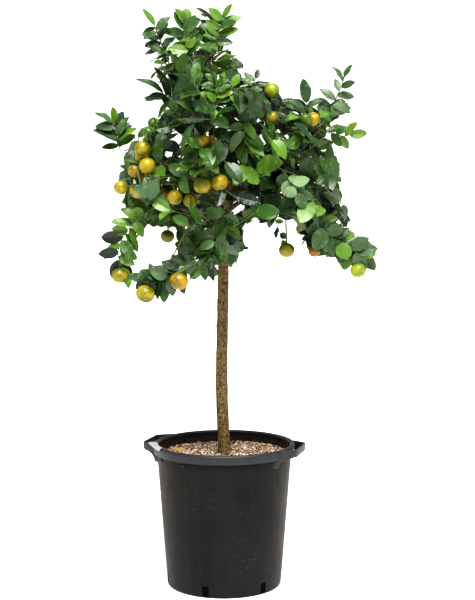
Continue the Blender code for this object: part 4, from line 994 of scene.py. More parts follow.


# sprays set where the photograph shows them clearly, from front-on positions in mm on the plane y = 0: how far
# back each stands, the twig that carries it, the places it keeps for itself, and its leaves (root, tip, width, tint)
spraySet = {
    "farLeft": {
        "depth": -0.100, "twig": [(-245, 1040), (-255, 1075), (-260, 1115)], "fan": (15, 48, 19), "tints": "mid fresh dark sage mid",
        "keeps": [(-260, 1102, 55), (-260, 1050, 25)],
    },
    "leftPair": {
        "depth": -0.060, "twig": [(-115, 1160), (-145, 1185)], "fan": (6, 64, 18), "tints": "sage dark mid",
        "keeps": [(-187, 1188, 40), (-180, 1140, 28)],
    },
    "upperLeft": {
        "depth": -0.040, "twig": [(-130, 1255), (-145, 1290), (-165, 1345)], "fan": (12, 46, 16), "tints": "fresh sage sage dark",
        "keeps": [(-182, 1339, 45), (-182, 1287, 26)],
    },
    "topTwigs": {
        "depth": -0.050, "twig": [(-75, 1250), (-95, 1330), (-90, 1355)], "fan": (13, 44, 21), "tints": "fresh sage mid",
        "keeps": [(-100, 1369, 35)],
    },
    "topRight": {
        "depth": -0.060, "twig": [(-25, 1280), (-12, 1335), (0, 1360)], "fan": (14, 48, 18), "tints": "mid fresh fresh sage",
        "keeps": [(23, 1372, 44), (26, 1329, 28)],
    },
    "midTop": {
        "depth": -0.030, "twig": [(60, 1185), (75, 1220)], "fan": (5, 34, 13), "tints": "mid dark",
        "keeps": [(73, 1242, 30)],
    },
    "upright": {
        "depth": -0.060, "twig": [(185, 1115), (195, 1140), (197, 1163)], "fan": (5, 50, 22), "tints": "dark mid sage",
        "keeps": [(188, 1192, 31)],
    },
    "rightSprig": {
        "depth": -0.050, "twig": [(235, 1120), (263, 1165), (280, 1203), (286, 1223)], "fan": (8, 42, 17), "tints": "sage mid",
        "keeps": [(279, 1225, 46), (258, 1192, 26)],
    },
    "rightPods": {
        "depth": -0.060, "twig": [(220, 1102), (280, 1085), (300, 1087)], "fan": (6, 46, 20), "tints": "bright fresh mid washed",
        "keeps": [(287, 1088, 40), (299, 1035, 28)],
    },
    "lowRight": {
        "depth": -0.090, "twig": [(215, 910), (250, 855), (290, 822), (326, 804)], "fan": (24, 58, 32), "tints": "fresh sage dark mid sage dark",
        "keeps": [(312, 935, 30), (345, 814, 48), (277, 761, 38), (322, 877, 25)],
    },
    "hanging": {
        "depth": -0.080, "twig": [(122, 915), (123, 887), (140, 836)], "fan": (4, 25, 14), "tints": "dark fresh mid",
        "keeps": [(141, 858, 30), (95, 853, 24)],
    },
    "leftArch": {
        "depth": -0.165, "twig": [(-148, 925), (-213, 883), (-245, 839), (-255, 800), (-244, 771)], "fan": (17, 50, 25), "tints": "fresh fresh mid deep",
        "keeps": [(-223, 834, 34), (-238, 790, 34), (-182, 853, 20)],
    },
    "lowLeft": {
        "depth": -0.245, "twig": [(-64, 790), (-115, 760), (-156, 737), (-181, 741)], "fan": (21, 56, 26), "tints": "dark sage mid deep",
        "keeps": [(-205, 727, 35), (-163, 785, 30), (-147, 703, 35)],
    },
    "whorl": {
        "depth": -0.200, "twig": [(-16, 868), (-20, 834), (-40, 800)], "fan": (22, 46, 20), "tints": "sage sage mid",
        "keeps": [],
    },
    "frontLow": {
        "depth": -0.200, "twig": [(4, 925), (0, 892), (-2, 868)], "fan": (5, 54, 26), "tints": "fresh sage mid",
        "keeps": [],
    },
    "tuft": {
        "depth": -0.180, "twig": [(-20, 1140), (-18, 1178), (-20, 1211)], "fan": (16, 38, 13), "tints": "bright fresh mid",
        "keeps": [],
    },
    "frontRight": {
        "depth": -0.200, "twig": [(52, 1140), (48, 1093), (49, 1054)], "fan": (10, 52, 21), "tints": "fresh mid washed",
        "keeps": [],
    },
    "frontMid": {
        "depth": -0.200, "twig": [(129, 1011), (153, 988), (177, 949)], "fan": (7, 42, 25), "tints": "sage washed",
        "keeps": [],
    },
    "fruitLeft": {
        "depth": -0.240, "twig": [(-189, 925), (-167, 937), (-174, 949)], "fan": (8, 46, 26), "tints": "fresh sage mid",
        "keeps": [],
    },
}
twigSet = {"foot": 0.0021, "tip": 0.0009, "steps": 3, "fineSteps": 9, "near": 0.022, "far": 0.115, "past": 0.055, "tries": 26}
leafSet = {
    "length": (0.050, 0.080), "aspect": (0.50, 0.62), "stalk": 0.008, "step": 0.0100, "grows": 0.0016, "most": 8,
    "bare": 0.15, "tries": 9, "yield": 0.22, "apart": 0.0060, "outside": 2, "over": 1,
}


def mapCrown():
    cell, (left, bottom), (across, up) = crownSet["cell"], crownSet["low"], crownSet["cells"]
    xs = left + (np.arange(across) + 0.5) * cell
    zs = bottom + (np.arange(up) + 0.5) * cell
    inside = np.zeros((up, across), bool)
    ring = [(x / 1000, z / 1000) for x, z in crownSet["outline"]]
    for (x0, z0), (x1, z1) in zip(ring, ring[1:] + ring[:1]):
        rows = (z0 <= zs) != (z1 <= zs)
        crossing = x0 + (zs[rows] - z0) / (z1 - z0 + 1e-12) * (x1 - x0)
        inside[rows] ^= xs[None, :] > crossing[:, None]
    for x, z, wide, high in crownSet["gaps"]:
        off = ((xs[None, :] * 1000 - x) / wide) ** 2 + ((zs[:, None] * 1000 - z) / high) ** 2
        inside &= off > 1
    return inside


def shrinkMap(inside, steps):
    core = inside.copy()
    for _ in range(steps):
        side = core[1:-1, 1:-1] & core[:-2, 1:-1] & core[2:, 1:-1] & core[1:-1, :-2] & core[1:-1, 2:]
        core[:] = False
        core[1:-1, 1:-1] = side
    return core


def mapKeeps():
    kept = np.zeros_like(crownMap)
    rows, columns = np.indices(kept.shape)
    x = crownSet["low"][0] + (columns + 0.5) * crownSet["cell"]
    z = crownSet["low"][1] + (rows + 0.5) * crownSet["cell"]
    for spray in spraySet.values():
        for kx, kz, reach in spray["keeps"]:
            kept |= (x * 1000 - kx) ** 2 + (z * 1000 - kz) ** 2 < reach**2
    return kept


crownMap = mapCrown()
keepMap = mapKeeps()  # where only the listed sprays stand
frontMap = np.full(crownMap.shape, 9.0)  # how far back the set leaves are, as seen from the front
coreMap = shrinkMap(crownMap, 12)


def cellsOf(points):
    eye, (left, bottom), (across, up) = crownSet["eye"], crownSet["low"], crownSet["cells"]
    share = -eye.y / (points[..., 1] - eye.y)
    x = eye.x + (points[..., 0] - eye.x) * share
    z = eye.z + (points[..., 2] - eye.z) * share
    column = np.clip(((x - left) / crownSet["cell"]).astype(int), 0, across - 1)
    row = np.clip(((z - bottom) / crownSet["cell"]).astype(int), 0, up - 1)
    return row, column


def inBox(points, slack=0.0005):
    low, high = np.array(cadBox[0]) + slack, np.array(cadBox[1]) - slack
    rise = (points[..., 2] - crownSet["middle"].z) / crownSet["rise"]
    depth = crownSet["depth"] * np.sqrt(np.maximum(0.1, 1 - rise**2))
    return ((points > low) & (points < high)).all(axis=-1) & (np.abs(points[..., 1]) < depth)


def inCrown(point):
    spot = np.array(point)
    return bool(crownMap[cellsOf(spot)] and not keepMap[cellsOf(spot)]) and bool(inBox(spot))


def treeOf(points):
    tree = KDTree(len(points))
    for k, point in enumerate(points):
        tree.insert(point, k)
    tree.balance()
    return tree


def inSpace(point, space):
    own, others = space
    return own.find(point)[2] + 0.0008 < others.find(point)[2] and inCrown(point)


def archRoute(start, heading, end, lift, steps):
    reach = (end - start).length
    straight = (end - start).normalized()
    first = start + (heading.normalized() + straight).normalized() * reach * 0.34
    last = end - (straight + Vector((0, 0, lift))).normalized() * reach * 0.34
    route = []
    for k in range(steps + 1):
        t = k / steps
        u = 1 - t
        route.append(start * u**3 + first * 3 * t * u * u + last * 3 * t * t * u + end * t**3)
    return route


def footFor(stems, aim):
    best = None
    for stem in stems:
        route = stem["route"]
        for k in range(1, len(route)):
            way = (route[k] - route[k - 1]).normalized()
            reach = aim - route[k]
            cost = reach.length * (1.7 - way.dot(reach.normalized()))
            if best is None or cost < best[0]:
                best = (cost, route[k], way, stem["radii"][k])
    return best[1:]


def makeStem(start, heading, end, lift, thick):
    route = archRoute(start, heading, end, lift, twigSet["steps"])
    steps = len(route) - 1
    radii = [thick + (twigSet["tip"] - thick) * k / steps for k in range(steps + 1)]
    return {"route": route, "radii": radii, "fine": archRoute(start, heading, end, lift, twigSet["fineSteps"])}


def growShoots(plan, bough):
    route, radii = bough
    stems = []
    for end in map(Vector, plan["shoots"]):
        if stems:
            start, heading, thick = footFor(stems, end)
            thick *= 0.8
        else:
            heading = (route[-1] - route[-2]).normalized()
            start, thick = route[-1] - heading * 0.002, radii[-1] * 0.9
        stems.append(makeStem(start, heading, end, 0.35 if end.z > start.z else -0.25, thick))
    return stems


class Room:
    def __init__(self, cell):
        self.cell = cell
        self.spots = {}

    def key(self, point):
        return tuple(int(c // self.cell) for c in point)

    def add(self, point, reach):
        self.spots.setdefault(self.key(point), []).append((point, reach))

    def free(self, point, reach):
        a, b, c = self.key(point)
        for x in (a - 1, a, a + 1):
            for y in (b - 1, b, b + 1):
                for z in (c - 1, c, c + 1):
                    for other, far in self.spots.get((x, y, z), ()):
                        if (other - point).length < far + reach:
                            return False
        return True


def growTwigs(plan, stems, space, wood, rng):
    ends = [stem["route"][-1] for stem in stems]
    low = [min(p[k] for p in ends) - twigSet["past"] for k in range(3)]
    high = [max(p[k] for p in ends) + twigSet["past"] for k in range(3)]
    grown = 0
    for _ in range(plan["fill"] * 8):
        if grown == plan["fill"]:
            break
        best = None
        for _ in range(twigSet["tries"]):
            aim = Vector([rng.uniform(low[k], high[k]) for k in range(3)])
            near = min((aim - p).length for stem in stems for p in stem["route"])
            if twigSet["near"] < near < twigSet["far"] and (best is None or near > best[0]) and inSpace(aim, space):
                best = (near, aim)
        if best is None:
            continue
        aim = best[1]
        start, heading, thick = footFor(stems, aim)
        stem = makeStem(start, heading, aim, 0.3, min(thick * 0.8, twigSet["foot"]))
        if all(inCrown(p) for p in stem["fine"][2:]) and all(wood.free(p, 0.002) for p in stem["fine"][3:]):
            stems.append(stem)
            grown += 1


def leafWidth(s):
    s = np.clip(s, 0, 1)
    return np.sin(pi * s**0.90) ** (0.66 + 0.06 * s)


sampleAlong = np.array([0.10, 0.26, 0.44, 0.62, 0.80, 1.0])


def leafPoints(root, heading, up, length, width):
    heading, up = np.array(heading), np.array(up)
    across = np.cross(up, heading)
    across /= np.linalg.norm(across)
    up = np.cross(heading, across)
    spine = np.array(root) + sampleAlong[:, None] * length * heading - (0.16 * length * sampleAlong**2)[:, None] * up
    half = (leafWidth(sampleAlong) * width * 0.46)[:, None] * across
    return np.concatenate([spine, spine[:-1] + half[:-1], spine[:-1] - half[:-1]])


def hidesFruit(points, shownFruit):
    eye = np.array(crownSet["eye"])
    share = -eye[1] / (points[:, 1] - eye[1])
    x = eye[0] + (points[:, 0] - eye[0]) * share
    z = eye[2] + (points[:, 2] - eye[2]) * share
    for fx, fz, fy, reach in shownFruit:
        over = ((x - fx) ** 2 + (z - fz) ** 2 < reach**2) & (points[:, 1] < fy)
        if over.sum() > leafSet["over"]:
            return True
    return False


def hidesSpray(points):
    cells = cellsOf(points)
    front = frontMap[cells]
    return keepMap[cells].sum() > 1 or ((front < 9) & (points[:, 1] < front)).sum() > 1


def fits(points, space, rooms, shownFruit):
    leafRoom, wood = rooms
    if (~crownMap[cellsOf(points)]).sum() > leafSet["outside"] or not inBox(points).all():
        return False
    if hidesFruit(points, shownFruit) or hidesSpray(points):
        return False
    spots = [Vector(p) for p in points[2:]]
    if space and not all(space[0].find(p)[2] + 0.0008 < space[1].find(p)[2] for p in spots[::2]):
        return False
    gap = leafSet["apart"] / 2
    return all(wood.free(p, 0.0015) for p in spots) and all(leafRoom.free(p, gap) for p in spots)


def growLeaves(plan, stems, space, rooms, rng, tint, shownFruit):
    leaves = []
    grow, widen = plan.get("large", (1.0, 0.0))
    for stem in stems:
        if "spray" in stem:
            continue
        route = stem["fine"]
        length = sum((b - a).length for a, b in zip(route, route[1:]))
        frames = ringFrames(route)
        phase = rng.uniform(0, 2 * pi)
        spray = tint(route[-1], rng)
        for k in range(leafSet["most"]):
            share = 1 - (0.001 + k * (leafSet["step"] + k * leafSet["grows"])) / length
            if share < leafSet["bare"]:
                break
            place = share * (len(route) - 1)
            low = min(int(place), len(route) - 2)
            foot = route[low].lerp(route[low + 1], place - low)
            way, side = frames[low]
            outward = (foot - crownSet["middle"]).normalized()
            nearEdge = foot.y < 0.10 and not coreMap[cellsOf(np.array(foot))]
            droop = 0.04 + 0.22 * max(0.0, min(1.0, (1.30 - foot.z) / 0.5))
            for attempt in range(leafSet["tries"]):
                turn = phase + k * 2.4 + attempt * 0.9 + rng.uniform(-0.4, 0.4)
                out = side * cos(turn) + way.cross(side) * sin(turn)
                opening = radians(rng.uniform(20, 48) + min(k, 4) * 9)
                heading = way * cos(opening) + out * sin(opening) - Vector((0, 0, droop * rng.uniform(-0.6, 1.7)))
                heading.normalize()
                if nearEdge:  # a leaf on the outline lies flat to the front, so it shows its own shape there
                    up = Vector((0, -0.85, 0.40)) + outward * 0.2 + Vector([rng.uniform(-0.40, 0.40) for _ in range(3)])
                else:
                    up = Vector((0, 0, 0.75)) + outward * 0.6 + way * 0.3 + Vector([rng.uniform(-0.55, 0.55) for _ in range(3)])
                if abs(up.normalized().dot(heading)) > 0.90:
                    continue
                size = rng.uniform(*leafSet["length"]) * grow * (0.74 if k == 0 else 0.9 if k == 1 else 1.0)
                size *= 1 - attempt / leafSet["tries"] * leafSet["yield"]
                root = foot + heading * leafSet["stalk"]
                wide = size * (rng.uniform(*leafSet["aspect"]) + widen)
                points = leafPoints(root, heading, up, size, wide)
                if fits(points, space, rooms, shownFruit):
                    for p in points:
                        rooms[0].add(Vector(p), leafSet["apart"] / 2)
                    leaves.append({"foot": foot, "root": root, "heading": heading, "up": up, "length": size,
                                   "wide": wide, "tint": spray, "seed": rng.random()})
                    break
    return leaves


def seenAt(x, z, depth):  # the place at that depth which looks from the front as (x, z) mm on the plane y = 0
    share = (depth - crownSet["eye"].y) / -crownSet["eye"].y
    return Vector((
        crownSet["eye"].x + (x / 1000 - crownSet["eye"].x) * share, depth,
        crownSet["eye"].z + (z / 1000 - crownSet["eye"].z) * share,
    ))


# root, tip, shown width and tint of each leaf: one at the tip, then alternate ones back along the twig
def fanLeaves(spray, rng):
    count, long, wide = spray["fan"]
    twig = [Vector((x, z)) for x, z in spray["twig"]]
    runs = [(b - a).length for a, b in zip(twig, twig[1:])]
    for k in range(count):
        spot = sum(runs) * (1 - 0.80 * k / count)
        part = 0
        while spot > runs[part] and part < len(runs) - 1:
            spot -= runs[part]
            part += 1
        heading = (twig[part + 1] - twig[part]).normalized()
        root = twig[part] + heading * spot
        turn = radians(rng.uniform(-12, 12) if k == 0 else rng.uniform(28, 82) * (1 if k % 2 else -1))
        heading = Vector((heading.x * cos(turn) - heading.y * sin(turn), heading.x * sin(turn) + heading.y * cos(turn)))
        heading.y -= 0.10
        tip = root + heading.normalized() * long * rng.uniform(0.72, 1.22)
        yield root.x, root.y, tip.x, tip.y, wide * rng.uniform(0.65, 1.25), rng.choice(spray["tints"].split())


def setSprays(stems, leafRoom, rng):
    leaves = []
    for name, spray in spraySet.items():
        stops = [seenAt(x, z, spray["depth"]) for x, z in spray["twig"]]
        gaps = {mass: (footFor(grown, stops[0])[0] - stops[0]).length for mass, grown in stems.items()}
        mass = min(gaps, key=gaps.get)
        start, heading, thick = footFor(stems[mass], stops[0])
        fine = archRoute(start, heading, stops[0], 0.2, 4)[:-1] + curveThrough(stops, 4)
        radii = [thick + (0.0013 - thick) * k / (len(fine) - 1) for k in range(len(fine))]
        stems[mass].append({"route": fine, "radii": radii, "fine": fine, "spray": name})
        for x0, z0, x1, z1, wide, tint in fanLeaves(spray, rng):
            root = seenAt(x0, z0, spray["depth"] + rng.uniform(-0.012, 0.012))
            tip = seenAt(x1, z1, root.y + rng.uniform(-0.020, 0.010))
            length = (tip - root).length
            heading = (tip - root).normalized()
            flat = (crownSet["eye"] - root).normalized()
            flat = (flat - heading * flat.dot(heading)).normalized()
            across = heading.cross(flat)
            across *= 1 if across.z > 0 else -1
            real = max(wide / 1000, 0.52 * length)
            turned = min(1.0, wide / 1000 / real)  # how much of its width it shows
            up = flat * turned + across * sqrt(1 - turned**2)
            foot = min(fine[4:], key=lambda p: (p - root).length)
            points = leafPoints(root, heading, up, length, real)
            for p in points:
                leafRoom.add(Vector(p), leafSet["apart"] / 2)
            leaf = {"foot": foot, "root": root, "heading": heading, "up": up, "length": length, "wide": real,
                    "tint": tint, "seed": rng.random()}
            leaves.append(leaf)
            dense = denseLeaf(leaf)
            np.minimum.at(frontMap, cellsOf(dense), dense[:, 1])
    return leaves


# where the outline is still bare from the front, a leaf is picked out of many that fits it best
bareSet = {"rounds": 420, "picks": 70, "reach": 0.085, "enough": 10, "seed": 40, "length": (0.045, 0.084), "deep": 0.16}


def denseLeaf(leaf):
    s = np.repeat(np.linspace(0.04, 1.0, 22), 11)
    t = np.tile(np.linspace(-1, 1, 11), 22)
    heading, up = np.array(leaf["heading"]), np.array(leaf["up"])
    side = np.cross(up, heading)
    side /= np.linalg.norm(side)
    up = np.cross(heading, side)
    along = (s * leaf["length"])[:, None] * heading - (0.16 * leaf["length"] * s**2)[:, None] * up
    return np.array(leaf["root"]) + along + (leafWidth(s) * t * leaf["wide"] / 2)[:, None] * side


def fillBare(stems, leaves, fruit, rooms, tint, shownFruit):
    rng = Random(bareSet["seed"])
    covered = keepMap.copy()
    for leaf in leaves:
        covered[cellsOf(denseLeaf(leaf))] = True
    for centre, radius, *_ in fruit:
        spots = np.array([centre + Vector((cos(a), 0, sin(a))) * radius * r for a in np.arange(0, 6.3, 0.2) for r in (0.2, 0.5, 0.75, 1)])
        covered[cellsOf(spots)] = True
    feet = []
    for mass in stems.values():
        for stem in mass:
            route = stem["fine"]
            feet += [(p, (route[min(k + 1, len(route) - 1)] - route[k - 1]).normalized()) for k, p in enumerate(route) if k > 2]
    places = np.array([p for p, _ in feet])
    rows, columns = cellsOf(places)
    added = []
    lost = np.zeros_like(crownMap)
    for _ in range(bareSet["rounds"]):
        bare = crownMap & ~covered & ~lost
        spots = np.argwhere(bare)
        if not len(spots):
            break
        row, column = spots[rng.randrange(len(spots))]
        off = np.hypot(rows - row, columns - column) * crownSet["cell"]
        near = np.argsort(off + np.maximum(0, np.abs(places[:, 1]) - 0.10) * 0.6)[:14]
        best = None
        for _ in range(bareSet["picks"]):
            foot, way = feet[near[rng.randrange(len(near))]]
            size = rng.uniform(*bareSet["length"])
            share = (foot.y - crownSet["eye"].y) / -crownSet["eye"].y
            x = crownSet["low"][0] + (column + 0.5) * crownSet["cell"]
            z = crownSet["low"][1] + (row + 0.5) * crownSet["cell"]
            aim = Vector((crownSet["eye"].x + (x - crownSet["eye"].x) * share, foot.y, crownSet["eye"].z + (z - crownSet["eye"].z) * share))
            heading = (aim - foot).normalized() + Vector([rng.uniform(-0.45, 0.45) for _ in range(3)])
            heading.normalize()
            outward = (foot - crownSet["middle"]).normalized()
            up = Vector((0, -0.85, 0.35)) + outward * 0.2 + Vector([rng.uniform(-0.5, 0.5) for _ in range(3)])
            if abs(up.normalized().dot(heading)) > 0.90:
                continue
            leaf = {"foot": foot, "root": foot + heading * leafSet["stalk"], "heading": heading, "up": up,
                    "length": size, "wide": size * rng.uniform(*leafSet["aspect"]), "seed": rng.random()}
            dense = denseLeaf(leaf)
            if not inBox(dense).all():
                continue
            marks = np.zeros_like(crownMap)
            marks[cellsOf(dense)] = True
            score = (marks & bare).sum() - 2.2 * (marks & ~crownMap).sum()
            if score > bareSet["enough"] and (best is None or score > best[0]):
                points = leafPoints(leaf["root"], heading, up, size, leaf["wide"])
                spotsOf = [Vector(p) for p in points[2:]]
                gap = leafSet["apart"] / 2
                if hidesFruit(points, shownFruit) or hidesSpray(points) or not all(rooms[0].free(p, gap) and rooms[1].free(p, 0.0015) for p in spotsOf):
                    continue
                best = (score, leaf, marks, points)
        if best is None:
            lost[max(0, row - 2) : row + 3, max(0, column - 2) : column + 3] = True
            continue
        _, leaf, marks, points = best
        leaf["tint"] = tint(leaf["foot"], rng)
        for p in points:
            rooms[0].add(Vector(p), leafSet["apart"] / 2)
        covered |= marks
        added.append(leaf)
    bare = (crownMap & ~covered).sum() / crownMap.sum()
    print("bare places filled:", len(added), "leaves, still bare:", round(float(bare), 3))
    return added


# tints, dealt out by spray: upper side, underside, rib
leafTones = {
    # painted shade: a near black green, dealt mostly to leaves deep inside the crown
    "deep": ((0.006, 0.016, 0.003), (0.020, 0.040, 0.010), (0.012, 0.028, 0.006)),
    "dark": ((0.017, 0.050, 0.008), (0.060, 0.110, 0.028), (0.030, 0.074, 0.015)),
    "mid": ((0.038, 0.100, 0.012), (0.090, 0.160, 0.034), (0.056, 0.130, 0.020)),
    "fresh": ((0.090, 0.185, 0.016), (0.140, 0.230, 0.036), (0.125, 0.225, 0.026)),
    "bright": ((0.165, 0.270, 0.024), (0.200, 0.290, 0.048), (0.210, 0.310, 0.040)),
    "sage": ((0.050, 0.098, 0.034), (0.100, 0.160, 0.062), (0.072, 0.128, 0.044)),
    # painted sheen: a pale grey-green for leaves that catch the light
    "washed": ((0.200, 0.300, 0.140), (0.230, 0.310, 0.170), (0.250, 0.340, 0.185)),
}
# where the photograph shows other than the usual dark green: a place, how far it holds, its tint and how often
tintSpots = [
    ((-0.215, -0.12, 0.940), 0.085, "fresh", 0.70),
    ((-0.180, -0.18, 1.000), 0.070, "fresh", 0.50),
    ((-0.050, -0.10, 1.215), 0.045, "bright", 0.60),
    ((-0.010, -0.22, 0.860), 0.090, "sage", 0.55),
    ((-0.120, -0.22, 0.790), 0.090, "sage", 0.40),
    ((0.290, -0.06, 0.850), 0.130, "sage", 0.50),
    ((0.170, -0.10, 0.960), 0.110, "sage", 0.30),
    ((0.270, 0.0, 1.110), 0.060, "fresh", 0.35),
    ((0.040, -0.02, 1.290), 0.110, "fresh", 0.22),
]
# painted shade: how far out a spray stands, from the crown's middle to its skin, and the tints it is then dealt, the
# darkest deep inside and lighter ones near the skin
depthShadeShares = [(0.52, [100, 0, 0, 0]), (0.72, [45, 40, 15, 0]), (9.0, [8, 38, 42, 12])]


def tintAndDepthShadeFor(point, rng):
    x, y, z = point - crownSet["middle"]
    out = sqrt((x / 0.32) ** 2 + (y / 0.30) ** 2 + (z / 0.36) ** 2)
    for place, reach, tint, often in tintSpots:
        if out > 0.52 and (point - Vector(place)).length < reach and rng.random() < often:
            return tint
    # painted shade: the deeper inside the crown, the darker the tint
    weights = [share for limit, share in depthShadeShares if out < limit][0]
    return rng.choices(["deep", "dark", "mid", "fresh"], weights)[0]


def leafFinish(name, colour, rib, under):
    made, tree, shader = startMaterial(name)
    coords = addNode(tree, "ShaderNodeTexCoord").outputs["Object"]
    blotch = noiseNode(tree, coords, 26.0, 4.0, 0.6)
    pale = tuple(min(1.0, c * 1.25 + 0.006) for c in colour)
    deep = tuple(c * 0.78 for c in colour)
    shade = ramp(tree, blotch, [(0.25, deep), (0.52, colour), (0.80, pale)])
    fine = noiseNode(tree, coords, 240.0, 3.0, 0.6)
    shade = mixColour(tree, maths(tree, "MULTIPLY", greyRamp(tree, fine, [(0.55, 0.0), (0.75, 1.0)]), 0.25), shade, pale)
    # side veins, on the leaf's own map: across it from the rib, slanting to the tip
    uv = addNode(tree, "ShaderNodeUVMap", uv_map="leafMap").outputs["UV"]
    split = addNode(tree, "ShaderNodeSeparateXYZ")
    link(tree, uv, split.inputs[0])
    off = maths(tree, "ABSOLUTE", maths(tree, "SUBTRACT", split.outputs[1], 0.5))
    run = maths(tree, "MULTIPLY_ADD", off, -0.75, split.outputs[0])
    wave = maths(tree, "ABSOLUTE", maths(tree, "SUBTRACT", maths(tree, "FRACT", maths(tree, "MULTIPLY", run, 9.0)), 0.5))
    vein = maths(tree, "SUBTRACT", 1.0, maths(tree, "DIVIDE", wave, 0.10), clamp=True)
    shade = mixColour(tree, maths(tree, "MULTIPLY", vein, 0.18), shade, pale)
    middle = maths(tree, "LESS_THAN", off, 0.020)
    shade = mixColour(tree, maths(tree, "MULTIPLY", middle, 0.8), shade, rib)
    link(tree, shade, shader.inputs["Base Color"])
    shader.inputs["Roughness"].default_value = 0.60 if under else 0.34
    shader.inputs["Specular IOR Level"].default_value = 0.35 if under else 0.55
    height = maths(tree, "MULTIPLY_ADD", vein, -0.7, fine)
    addBump(tree, shader, height, 0.35, 0.0006)
    return made


# one leaf: rows along it between its two ends, places across its top, and one line below
leafAlong = [0.06, 0.20, 0.38, 0.58, 0.77, 0.92]
leafAcross = [-1.0, -0.5, 0.0, 0.5, 1.0]


def leafShape():
    tops, rows = len(leafAcross), len(leafAlong)
    first, last = rows * (tops + 1), rows * (tops + 1) + 1
    s = np.array([a for a in leafAlong for _ in leafAcross] + leafAlong + [0.0, 1.0])
    t = np.array(leafAcross * rows + [0.0] * (rows + 2))
    under = np.array([0.0] * (rows * tops) + [1.0] * rows + [0.0, 0.0])
    faces, kinds = [], []
    around = lambda r: [r * tops + c for c in range(tops)] + [rows * tops + r]
    for r in range(rows - 1):
        for c in range(tops + 1):
            d = (c + 1) % (tops + 1)
            faces.append((around(r)[d], around(r)[c], around(r + 1)[c], around(r + 1)[d]))
            kinds.append(0 if c < tops - 1 else 1)
    for c in range(tops + 1):
        d = (c + 1) % (tops + 1)
        faces += [(first, around(0)[c], around(0)[d]), (last, around(rows - 1)[d], around(rows - 1)[c])]
        kinds += [0 if c < tops - 1 else 1] * 2
    return s, t, under, faces, kinds


def leafArrays(leaves):
    s, t, under, faces, kinds = leafShape()
    count = len(leaves)
    get = lambda key: np.array([leaf[key] for leaf in leaves], dtype=float)
    root, heading, up = get("root"), get("heading"), get("up")
    length, wide, seed = get("length"), get("wide"), get("seed")
    side = np.cross(up, heading)
    side /= np.linalg.norm(side, axis=1)[:, None]
    up = np.cross(heading, side)
    bend = 0.06 + 0.26 * ((seed * 7.13) % 1)  # how far the tip curls down
    fold = radians(4) + radians(18) * ((seed * 3.77) % 1)
    sway = (((seed * 11.7) % 1) - 0.5) * 0.16
    wave = 0.0016 * ((seed * 5.3) % 1)
    half = wide[:, None] / 2 * leafWidth(s)[None, :] * t[None, :]
    lift = np.abs(half) * np.tan(fold)[:, None]
    lift += wave[:, None] * np.sin(s * 12 + seed[:, None] * 40) * np.abs(t)[None, :]
    fall = length[:, None] * bend[:, None] * s[None, :] ** 2.1
    thick = 0.00045 * under
    run = length[:, None] * (s[None, :] - 0.18 * bend[:, None] * s[None, :] ** 3)
    rise = lift - fall - thick[None, :]
    shift = half + sway[:, None] * length[:, None] * s[None, :] ** 2
    points = (root[:, None, :] + heading[:, None, :] * run[:, :, None] + side[:, None, :] * shift[:, :, None]
              + up[:, None, :] * rise[:, :, None])
    allFaces = [tuple(v + k * len(s) for v in face) for k in range(count) for face in faces]
    uv = np.tile(np.stack([s, t / 2 + 0.5], axis=1), (count, 1))
    return points.reshape(-1, 3), allFaces, np.tile(kinds, count), uv


def creaseLeaves(mesh):  # the rib and the two edges stay crisp under the smooth shading
    tops, rows = len(leafAcross), len(leafAlong)
    each = rows * (tops + 1) + 2
    ends = np.zeros(len(mesh.edges) * 2, np.int32)
    mesh.edges.foreach_get("vertices", ends)
    spot = ends.reshape(-1, 2) % each
    column = spot % tops
    crisp = (spot < rows * tops).all(axis=1) & (column[:, 0] == column[:, 1]) & np.isin(column[:, 0], (0, tops // 2, tops - 1))
    mesh.edges.foreach_set("use_edge_sharp", crisp)


def makeLeaves(leaves):
    masses = list(massSet)
    made = 0
    for tint, (upper, lower, rib) in leafTones.items():
        picked = [leaf for leaf in leaves if leaf["tint"] == tint]
        if not picked:
            continue
        points, faces, kinds, uv = leafArrays(picked)
        low, high = (np.array(c) for c in cadBox)
        points = np.clip(points, low + 0.0005, high - 0.0005)
        finishes = [leafFinish(tint + "LeafTop", upper, rib, False), leafFinish(tint + "LeafUnder", lower, rib, True)]
        piece = meshFromArrays(tint + "Leaves", points, faces, finishes, kinds, True, uv)
        creaseLeaves(piece.data)
        finishPiece(piece, masses if made == 0 else ())
        made += 1
        print("leaves", tint, len(picked), "triangles", sum(len(f) - 2 for f in faces))


# twigs, leaf stalks, thorns

def tubeArrays(route, radii, sides):
    points = []
    for centre, radius, (way, side) in zip(route, radii, ringFrames(route)):
        other = way.cross(side)
        for n in range(sides):
            turn = 2 * pi * n / sides
            points.append(centre + (side * cos(turn) + other * sin(turn)) * radius)
    faces = []
    for k in range(len(route) - 1):
        for n in range(sides):
            m = (n + 1) % sides
            faces.append((k * sides + n, k * sides + m, (k + 1) * sides + m, (k + 1) * sides + n))
    faces.append(tuple(reversed(range(sides))))
    faces.append(tuple(range((len(route) - 1) * sides, len(route) * sides)))
    return points, faces


def makeTubes(name, tubes, finish):
    points, faces = [], []
    for route, radii, sides in tubes:
        p, f = tubeArrays(route, radii, sides)
        faces += [tuple(i + len(points) for i in face) for face in f]
        points += p
    low, high = (np.array(c) for c in cadBox)
    piece = meshFromArrays(name, np.clip(points, low + 0.0004, high - 0.0004), faces, [finish])
    finishPiece(piece)
    print(name, len(piece.data.polygons), "faces")


def twigFinish(name, low, high):
    made, tree, shader = startMaterial(name)
    coords = addNode(tree, "ShaderNodeTexCoord").outputs["Object"]
    patch = noiseNode(tree, coords, 130.0, 5.0, 0.6)
    link(tree, ramp(tree, patch, [(0.32, low), (0.68, high)]), shader.inputs["Base Color"])
    shader.inputs["Roughness"].default_value = 0.6
    addBump(tree, shader, noiseNode(tree, coords, 600.0, 3.0, 0.6), 0.4, 0.0006)
    return made


